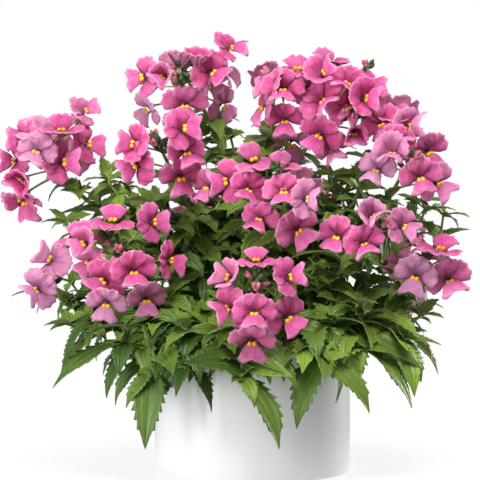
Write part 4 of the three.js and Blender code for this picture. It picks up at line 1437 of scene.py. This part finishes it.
def petals(piece, matrix, seed, tone, closed, count=8, rounding=None):
    """The five lobes of a bloom; closed is 0 when it is wide open and 1 when it is folded."""
    fold = math.radians(FOLDED) * closed
    for sign in (-1, 1):
        wobble = spread(seed, 1 + sign, 6)
        length = SIDE_LOBE["length"] + spread(seed, 14, 0.8)
        cup = -0.4 + 0.9 * chance(seed, 8 + sign)
        lobe(piece, matrix, sign * SIDE_LOBE["angle"] + wobble, length, SIDE_LOBE["width"], -0.4, fold,
             2.2, cup, seed + sign, tone, count)
        length = UPPER_LOBE["length"] + spread(seed, 15, 0.8)
        cup = -0.2 + 1.2 * chance(seed, 10 + sign)
        lobe(piece, matrix, sign * UPPER_LOBE["angle"] + wobble, length, UPPER_LOBE["width"],
             0.2 + 0.2 * sign, 0.9 * fold, 1.0, cup, seed + 3 * sign, tone, count)
    if rounding is None:
        rounding = 0.7 * chance(seed, 25)
    tilt = math.radians(LIP_TILT + LIP_TILT_SPREAD * chance(seed, 23)) + 0.3 * fold
    lip(piece, matrix, tilt, seed, tone, count, rounding)


print("an upper lobe is", UPPER_LOBE["length"], "mm long and the lip", LIP_LENGTH)

# %% [markdown]
# ## The middle of a bloom
#
# Two yellow bosses stand on the base of the lip, side by side, and the throat behind them is a dark
# violet ball, partly violet colour and partly painted shade of the hollow throat. Behind the throat a
# short tube joins the pedicel, and a tan spur hangs below it. They are small, so balls, a cone and a
# tapered tube are enough.

# %% Bosses, throat, tube and spur
HEAD_FINISHES = [petal_face, petal_back, palate_yellow, throat_violet_and_shade, corolla_pale, spur_tan, pedicel_green,
                 bud_green, bud_pink]
PALATE, VIOLET_AND_SHADE, TUBE, SPUR, STALK, GREEN, ROSY = range(2, 9)
SPUR_RADII = (1.2, 0.95, 0.65, 0.2)


def bloom_parts(piece, matrix, seed):
    """The bosses, throat, tube and spur of a bloom."""
    for sign in (-1, 1):
        place = Matrix.Translation((1.2 * sign, -0.8, 0.8)) @ Matrix.Diagonal((1.35, 1.6, 1.25, 1))
        ball(piece, matrix @ place, PALATE, 2)
    funnel = Matrix.Translation((0, 0.8, -6)) @ Matrix.Rotation(math.radians(2), 4, "X")
    cone(piece, matrix @ funnel, 1.2, 1.9, 3.9, 10, TUBE)
    # A dark violet ball in the throat: painted shade of the hollow, partly violet colour.
    shaded_hollow = Matrix.Translation((0, 0.7, -1.8)) @ Matrix.Diagonal((1.5, 1.5, 0.5, 1))
    ball(piece, matrix @ shaded_hollow, VIOLET_AND_SHADE)
    bend = spread(seed, 5, 1.0)
    spur = [(0, 0, -3.2), (0.2 * bend, -2.6, -4.4), (0.6 * bend, -5.0, -4.6), (bend, -7.4, -4.0)]
    tube(piece, [matrix @ Vector(spot) for spot in spur], SPUR_RADII, 7, SPUR)


print("a head has", len(HEAD_FINISHES), "finishes")

# %% [markdown]
# ## Calyx, pedicels and buds
#
# Behind each bloom five narrow sepals hold its tube, and a thin pedicel joins it to the raceme. The
# raceme ends in a knot of buds, smaller towards the tip. The sepals are flattened cones, and a bud is
# a long ball held by the same sepals. A bud about to open already shows its pink lobes.

# %% Sepals, pedicels and buds
SEPALS = 5
SEPAL_LENGTH = 4.4
SEPAL_FLATNESS = 0.45
PEDICEL_RADIUS = 0.5
PEDICEL_ARCH = 1.2


def aimed(spot, direction):
    """A frame at a spot whose +Z points this way."""
    return Matrix.Translation(spot) @ UP.rotation_difference(direction).to_matrix().to_4x4()


def calyx(piece, spot, direction, size, splay):
    """Sepals round a spot, which stand this many degrees away from the direction."""
    seat = aimed(spot, direction)
    for i in range(SEPALS):
        turn = Matrix.Rotation(math.tau * i / SEPALS, 4, "Z") @ Matrix.Rotation(math.radians(splay), 4, "Y")
        flat = Matrix.Diagonal((SEPAL_FLATNESS * size, size, size, 1))
        sepal = seat @ turn @ flat @ Matrix.Translation((0.5, 0, -0.2))
        cone(piece, sepal, 0.95, 0.05, SEPAL_LENGTH, 5, GREEN)


def pedicel(piece, root, neck, seed):
    """The thin stalk of a bloom, arched from the raceme to the bloom's neck."""
    arch = Vector((spread(seed, 6, PEDICEL_ARCH), spread(seed, 7, PEDICEL_ARCH), PEDICEL_ARCH))
    middle = root.lerp(neck, 0.5) + arch
    path = Path(root, root.lerp(middle, 0.7), middle.lerp(neck, 0.3), neck)
    radii = [PEDICEL_RADIUS] * 5 + [1.3 * PEDICEL_RADIUS]
    tube(piece, [path.at(i / 5) for i in range(6)], radii, 6, STALK)


def bud(piece, spot, direction, size):
    """A closed bud, held in its calyx."""
    seat = aimed(spot, direction)
    ball(piece, seat @ Matrix.Diagonal((1.5 * size, 1.5 * size, 2.9 * size, 1)), GREEN, 2)
    calyx(piece, spot - direction * 2.6 * size, direction, size, 14)


def rosy_bud(piece, spot, direction, size):
    """A bud about to open: two folded lobes over a curled lip, in a small calyx."""
    seat = aimed(spot, direction)
    for sign in (-1, 1):
        half = Matrix.Translation((0.75 * sign * size, 0, 0.4 * size)) @ Matrix.Rotation(0.2 * sign, 4, "Y")
        ball(piece, seat @ half @ Matrix.Diagonal((1.5 * size, 2.1 * size, 3.9 * size, 1)), ROSY, 2)
    curled = Matrix.Translation((0, -1.3 * size, 0.2 * size)) @ Matrix.Scale(1.7 * size, 4)
    ball(piece, seat @ curled, ROSY, 2)
    calyx(piece, spot - direction * 3.6 * size, direction, 1.1 * size, 20)


print("a calyx has", SEPALS, "sepals of", SEPAL_LENGTH, "mm")

# %% [markdown]
# ## The heads
#
# Now each head gets its blooms. Most are fresh pink, drawn within a narrow band; some have faded to
# lilac, and a few are still half closed. Those are named here by head and bloom. Blooms whose lip
# points up face the sky, and a few others are turned to an azimuth and elevation of their own, or
# shifted across and up by some millimetres. Late blooms are extra ones, each by its seat and size.
# An extra knot of buds is given by where it ends and by how many buds it has.

# %% Tables of blooms and buds
FADED = {
    1: {6: 0.75, 10: 0.8, 3: 0.35}, 2: {6: 1.0, 8: 0.8, 7: 0.6, 3: 0.4, 1: 0.3},
    4: {4: 0.35, 6: 0.7, 3: 0.3}, 5: {6: 0.45}, 6: {4: 0.7, 3: 0.25}, 7: {0: 0.9, 1: 0.6, 3: 0.5, 2: 0.2},
    8: {2: 0.3, 4: 0.2}, 9: {3: 0.7}, 10: {7: 0.55, 8: 0.8, 3: 0.3}, 11: {0: 0.7, 1: 0.75},
    12: {1: 0.5, 6: 0.3}, 13: {2: 0.8, 3: 0.45}, 14: {2: 0.85, 1: 0.3},
}
CLOSED = {
    1: {9: 0.75, 8: 0.3}, 2: {3: 0.8, 9: 0.7, 1: 0.4}, 3: {0: 0.3}, 5: {4: 0.4, 7: 0.8, 0: 0.5},
    6: {4: 0.6}, 7: {1: 0.5}, 10: {3: 0.6}, 12: {1: 0.6}, 13: {2: 0.7},
}
TURNED = {
    1: {11: (120, 60)}, 2: {1: (165, 65), 8: (85, 15), 10: (140, 10)}, 4: {3: (-75, 5), 4: (-70, 25)},
    6: {5: (60, 10)}, 10: {1: (32, 18), 7: (20, -12)}, 11: {2: (60, 20)}, 14: {3: (90, 0)},
}
SHIFTED = {
    1: {10: (2, -11), 1: (0, -2), 7: (-3, -3), 8: (-6, -1)},
    2: {0: (-2, -4), 1: (0, -7), 9: (0, -7), 2: (0, -4), 8: (-5, 0), 10: (0, -9), 11: (6, -6)},
    3: {0: (0, -3)},
    4: {0: (1, -5), 1: (0, -5), 3: (4, 0), 4: (9, -6), 7: (0, -3)},
    5: {3: (-1, -3), 8: (-4, -4)},
    6: {1: (-1, -4), 4: (-4, -5), 5: (-18, -12)},
    8: {3: (0, -3)},
    10: {1: (0, -2), 7: (0, -3)},
    14: {3: (-12, -12)},
}
LATE_BLOOMS = {
    3: [((13, 12, -16, 0), 1.0)],
    5: [((3, 14, 2, 20), 0.85)],
    10: [((-16, 10, -3, -40), 0.85)],
}
BUD_KNOTS = {
    1: [(-115, -24, 181, 8)], 2: [(-39, -16, 219, 8)], 3: [(-53, -38, 188, 7)], 4: [(35, -12, 220, 8)],
    5: [(58, -24, 200, 12), (64, -5, 225, 5)], 9: [(13, -60, 175, 6)], 10: [(-80, -62, 137, 9)],
    12: [(3, -80, 118, 9)], 13: [(81, -50, 144, 6)],
}
print(sum(map(len, FADED.values())), "blooms are fading and", sum(map(len, CLOSED.values())), "half closed")

# %% Blooms turned on their seats
def turned(matrix, azimuth, elevation):
    """A bloom's frame, turned on its seat until the bloom faces this way."""
    level = math.cos(math.radians(elevation))
    facing = heading(azimuth) * level + UP * math.sin(math.radians(elevation))
    turn = matrix.col[2].to_3d().rotation_difference(facing).to_matrix().to_4x4()
    return Matrix.Translation(matrix.translation) @ turn @ matrix.to_3x3().to_4x4()


def upturned(matrix, elevation):
    """A bloom's frame, tipped up or down until the bloom faces this high."""
    normal = matrix.col[2]
    return turned(matrix, math.degrees(math.atan2(normal.x, -normal.y)), elevation)


print("heads with turned blooms:", *TURNED)

# %% [markdown]
# ## Deep blooms and knots of buds
#
# Between the blooms of the solids one would look through a head, so a few smaller ones are set deep
# in its gaps. Places are tried one after another on a ball inside the head, each turned by the
# golden angle, and those with room are kept. In front, they stay near the middle of the head.

# %% Blooms in the gaps of a head
FILLERS = {1: 3, 2: 2, 3: 1, 4: 3, 5: 3, 6: 2, 9: 1, 15: 3, 16: 3, 17: 3, 18: 3, 19: 3}
FILLER_TRIES = 60
FILLER_DEPTH = 0.8
FILLER_ROOM = 12.5
FILLER_SIZE = 0.9
FILLER_TOP = 0.45
FILLER_FOOT = -0.5
FILLER_SIDE = 0.6
FIRST_BACK_HEAD = 15


def fillers(head):
    """Frames for blooms in the gaps deep in a head, clear of the others."""
    taken = [matrix.translation for matrix, *_ in blooms[head.number]]
    made = []
    for i in range(FILLER_TRIES):
        z = 1 - (i + 0.5) / (FILLER_TRIES / 2)
        out = math.sqrt(1 - z * z)
        turn = math.radians(GOLDEN_ANGLE * i)
        sphere = (out * math.sin(turn), -HEAD_DEPTH * out * math.cos(turn), z)
        seat = [FILLER_DEPTH * HEAD_RADIUS * part for part in sphere]
        spot = head.place(*seat)
        room = all((spot - other).length > FILLER_ROOM for other in taken)
        if head.number < FIRST_BACK_HEAD:
            room = room and z < FILLER_TOP and abs(seat[0]) < FILLER_SIDE * HEAD_RADIUS
        if room and z > FILLER_FOOT and len(made) < FILLERS.get(head.number, 0):
            lip_angle = math.degrees(math.atan2(seat[0], -seat[2]))
            pose = head.bloom_frame((*seat, 0.6 * lip_angle))
            made.append((pose, FILLER_SIZE, head.pedicel_root((*seat, lip_angle))))
            taken.append(spot)
    return made


print(sum(map(FILLERS.get, FILLERS)), "deep blooms at most")

# %% Buds at the end of a raceme
RACEME_BUDS = 13
LOW_BUDS = 6
ROSY_BUDS = 2
KNOT_STALK = (0.9, 0.75, 0.6)


def bud_knot(piece, root, end, count, turn):
    """The end of a raceme, from its root: a thin stalk and a knot of small buds."""
    along = (end - root).normalized()
    tube(piece, [root, root.lerp(end, 0.5) + UP, end], KNOT_STALK, 6, STALK)
    for i in range(count):
        outward = (heading(GOLDEN_ANGLE * i + turn) + along * (0.4 + 1.6 * i / count)).normalized()
        size = 1.15 - 0.5 * i / count
        spot = end + outward * 2.8 * size - along * (3.4 - 5 * i / count)
        if i == 1:
            rosy_bud(piece, spot + outward * 2, outward, 0.8)
        else:
            bud(piece, spot, outward, size)


def raceme_buds(piece, head):
    """The head's own buds: the low ones stand round its raceme, and the others get smaller to its tip."""
    for i in range(RACEME_BUDS):
        outward = heading(GOLDEN_ANGLE * i + 60 * head.number) + head.along * (0.8 + 0.2 * max(i - 5, 0))
        outward.normalize()
        size = 1.0 if i < LOW_BUDS else 0.98 - 0.07 * (i - 5)
        spot = head.end + outward * 2.7 * size
        spot -= head.along * (2.2 * (i + 0.5) if i < LOW_BUDS else -0.4 * (i - 7))
        if i < ROSY_BUDS:
            rosy_bud(piece, spot + outward * 2, outward, 0.85 + 0.2 * chance(head.number, 360 + i))
        else:
            bud(piece, spot, outward, size)


print(RACEME_BUDS, "buds end each raceme")

# %% [markdown]
# ## Heads put together
#
# The petals of a head come first, because they get their thickness all at once. The middles of the
# blooms, their pedicels and calyces follow, then the raceme itself and the buds. A bloom behind a
# head in front is smaller and half closed, so that it doesn't crowd its neighbours.

# %% The petals of a head
BLOOM_SWELL = 1.03
SWELL_SPREAD = 0.09
LIP_UP = 120
SKYWARD = 75
BEHIND_SIZE = 0.8
BEHIND_CLOSED = 0.5
FRESH_TONE = 0.22
DEEP_SQUARES = 5


def own_petals(piece, head):
    """The petals of the blooms of a head's solid; returns their frames, roots and seeds."""
    number = head.number
    in_front = number < FIRST_BACK_HEAD
    placed = []
    for i, (matrix, size, root) in enumerate(blooms[number]):
        _, forward, _, lip_angle = head.seats[i]
        faces_up = abs(lip_angle) > LIP_UP and in_front
        closed = (0.35 if faces_up else 0.16) * chance(number, 330 + i)
        if i in TURNED.get(number, {}):
            matrix = turned(matrix, *TURNED[number][i])
        elif faces_up:
            matrix = upturned(matrix, SKYWARD)
        if forward < 0 and in_front:
            size, closed = BEHIND_SIZE * size, BEHIND_CLOSED
        across, up = SHIFTED.get(number, {}).get(i, (0, 0))
        size *= BLOOM_SWELL + spread(number, 350 + i, SWELL_SPREAD)
        scaled = Matrix.Translation((across, 0, up)) @ matrix @ Matrix.Scale(size, 4)
        tone = FADED.get(number, {}).get(i, FRESH_TONE * chance(number, 300 + i) ** 2)
        closed = CLOSED.get(number, {}).get(i, closed)
        seed = 100 * number + i
        petals(piece, scaled, seed, tone, closed, rounding=1 if faces_up else None)
        placed.append((scaled, root, seed))
    return placed


def more_petals(piece, head):
    """The petals of a head's deep and late blooms; returns their frames, roots and seeds."""
    late = LATE_BLOOMS.get(head.number, [])
    extra = [(head.bloom_frame(seat), size, head.pedicel_root(seat)) for seat, size in late]
    placed = []
    for i, (matrix, size, root) in enumerate(fillers(head) + extra):
        seed = 100 * head.number + 50 + i
        scaled = matrix @ Matrix.Scale(size, 4)
        petals(piece, scaled, seed, 0.5 * chance(seed, 3) ** 2, 0.2 * chance(seed, 4), DEEP_SQUARES)
        placed.append((scaled, root, seed))
    return placed


print("blooms whose lip points up face", SKYWARD, "degrees above the horizon")

# %% Heads of blooms
PETAL_THICKNESS = 0.25
RACEME_RADII = (1.15, 0.95, 0.7)

for head in heads:
    name = f"head_{head.number:02d}"
    piece = Piece(HEAD_FINISHES)
    placed = own_petals(piece, head) + more_petals(piece, head)
    piece.thicken(PETAL_THICKNESS)
    for scaled, root, seed in placed:
        bloom_parts(piece, scaled, seed)
        neck = scaled @ NECK
        pedicel(piece, root, neck, seed)
        calyx(piece, neck, (scaled @ THROAT - neck).normalized(), 0.95, 26)
    foot = head.joint - head.along * JOINT_GAP
    tube(piece, [foot, head.joint.lerp(head.end, 0.5), head.end], RACEME_RADII, 8, STALK)
    raceme_buds(piece, head)
    for *end, count in BUD_KNOTS.get(head.number, []):
        bud_knot(piece, head.end, Vector(end), count, 40 * head.number)
    made = piece.done(f"blooms_{name}", "petals", name)
    print(name, "has", len(placed), "blooms and", len(made.data.polygons), "faces")

# %% [markdown]
# ## Floor and light
#
# The pot stands on a plain pale floor. The floor glows a little, so that it stays white below the
# plant, and it fades out towards its edge, so that no line shows where it ends. It is the stage, and
# not a part of the plant.

# %% The floor
FLOOR_RADIUS = 0.2
FADE_START = 0.055
FLOOR_GLOW = 0.8

floor_finish = Finish("studio_floor", Roughness=0.9, Specular_IOR_Level=0.1)
greys = colour(124, 124, 124), colour(130, 130, 130)
floor_finish.drive("Base Color", floor_finish.mix(floor_finish.noise(6, 2), *greys))
floor_finish.drive("Emission Color", (1, 1, 1, 1))
floor_finish.drive("Emission Strength", FLOOR_GLOW)
spot = floor_finish.node("TexCoord", output="Object")
reach = floor_finish.node("VectorMath", {"operation": "LENGTH"}, {0: spot}, "Value")
floor_finish.drive("Alpha", 1 - reach.step(FADE_START, 0.95 * FLOOR_RADIUS))
floor_mesh = bpy.data.meshes.new("studio_floor")
disc = bmesh.new()
bmesh.ops.create_circle(disc, cap_ends=True, segments=64, radius=FLOOR_RADIUS)
disc.to_mesh(floor_mesh)
disc.free()
floor_mesh.materials.append(floor_finish.material)
floor = bpy.data.objects.new("studio_floor", floor_mesh)
scene.collection.objects.link(floor)
print("the floor is", 2 * FLOOR_RADIUS, "m wide")

# %% [markdown]
# ## Light
#
# The plant stands in a bright studio. A big soft light at the left is the key. It stands low, so
# that it reaches under the leaves to the pot. One above lights the upper blooms, and a smaller one
# behind at the right gives the pot its bright right edge. The white surroundings fill the shadows,
# and the camera sees them brighter than they shine.

# %% Lights and surroundings
LIGHT_AIM = Vector((0, 0, 0.14))
LIGHTS = {
    "key_light": ((-1.5, -0.95, 0.24), 1.2, 30),
    "top_light": ((0.1, -0.75, 1.55), 0.8, 27),
    "edge_light": ((1.3, 1.1, 0.25), 0.5, 18),
}
FILL = 0.34
BACKDROP = 1.0

for name, (place, size, power) in LIGHTS.items():
    light = bpy.data.objects.new(name, bpy.data.lights.new(name, "AREA"))
    light.data.energy = power
    light.data.size = size
    light.location = place
    light.rotation_euler = (Vector(place) - LIGHT_AIM).to_track_quat("Z", "Y").to_euler()
    scene.collection.objects.link(light)

world = bpy.data.worlds.new("studio")
world.use_nodes = True
scene.world = world
tree = world.node_tree
fill = tree.nodes["Background"]
backdrop = tree.nodes.new("ShaderNodeBackground")
for background, strength in ((fill, FILL), (backdrop, BACKDROP)):
    background.inputs["Color"].default_value = (1, 1, 1, 1)
    background.inputs["Strength"].default_value = strength
chooser = tree.nodes.new("ShaderNodeMixShader")
rays = tree.nodes.new("ShaderNodeLightPath")
tree.links.new(rays.outputs["Is Camera Ray"], chooser.inputs["Fac"])
tree.links.new(fill.outputs["Background"], chooser.inputs[1])
tree.links.new(backdrop.outputs["Background"], chooser.inputs[2])
tree.links.new(chooser.outputs["Shader"], tree.nodes["World Output"].inputs["Surface"])
print(len(LIGHTS), "lights, and surroundings of", FILL)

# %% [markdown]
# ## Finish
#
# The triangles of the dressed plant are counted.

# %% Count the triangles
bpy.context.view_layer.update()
meshes = [made.data for made in scene.objects if made.type == "MESH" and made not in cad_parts.values()]
total = 0
for mesh in meshes:
    mesh.calc_loop_triangles()
    total += len(mesh.loop_triangles)
print(total, "triangles")
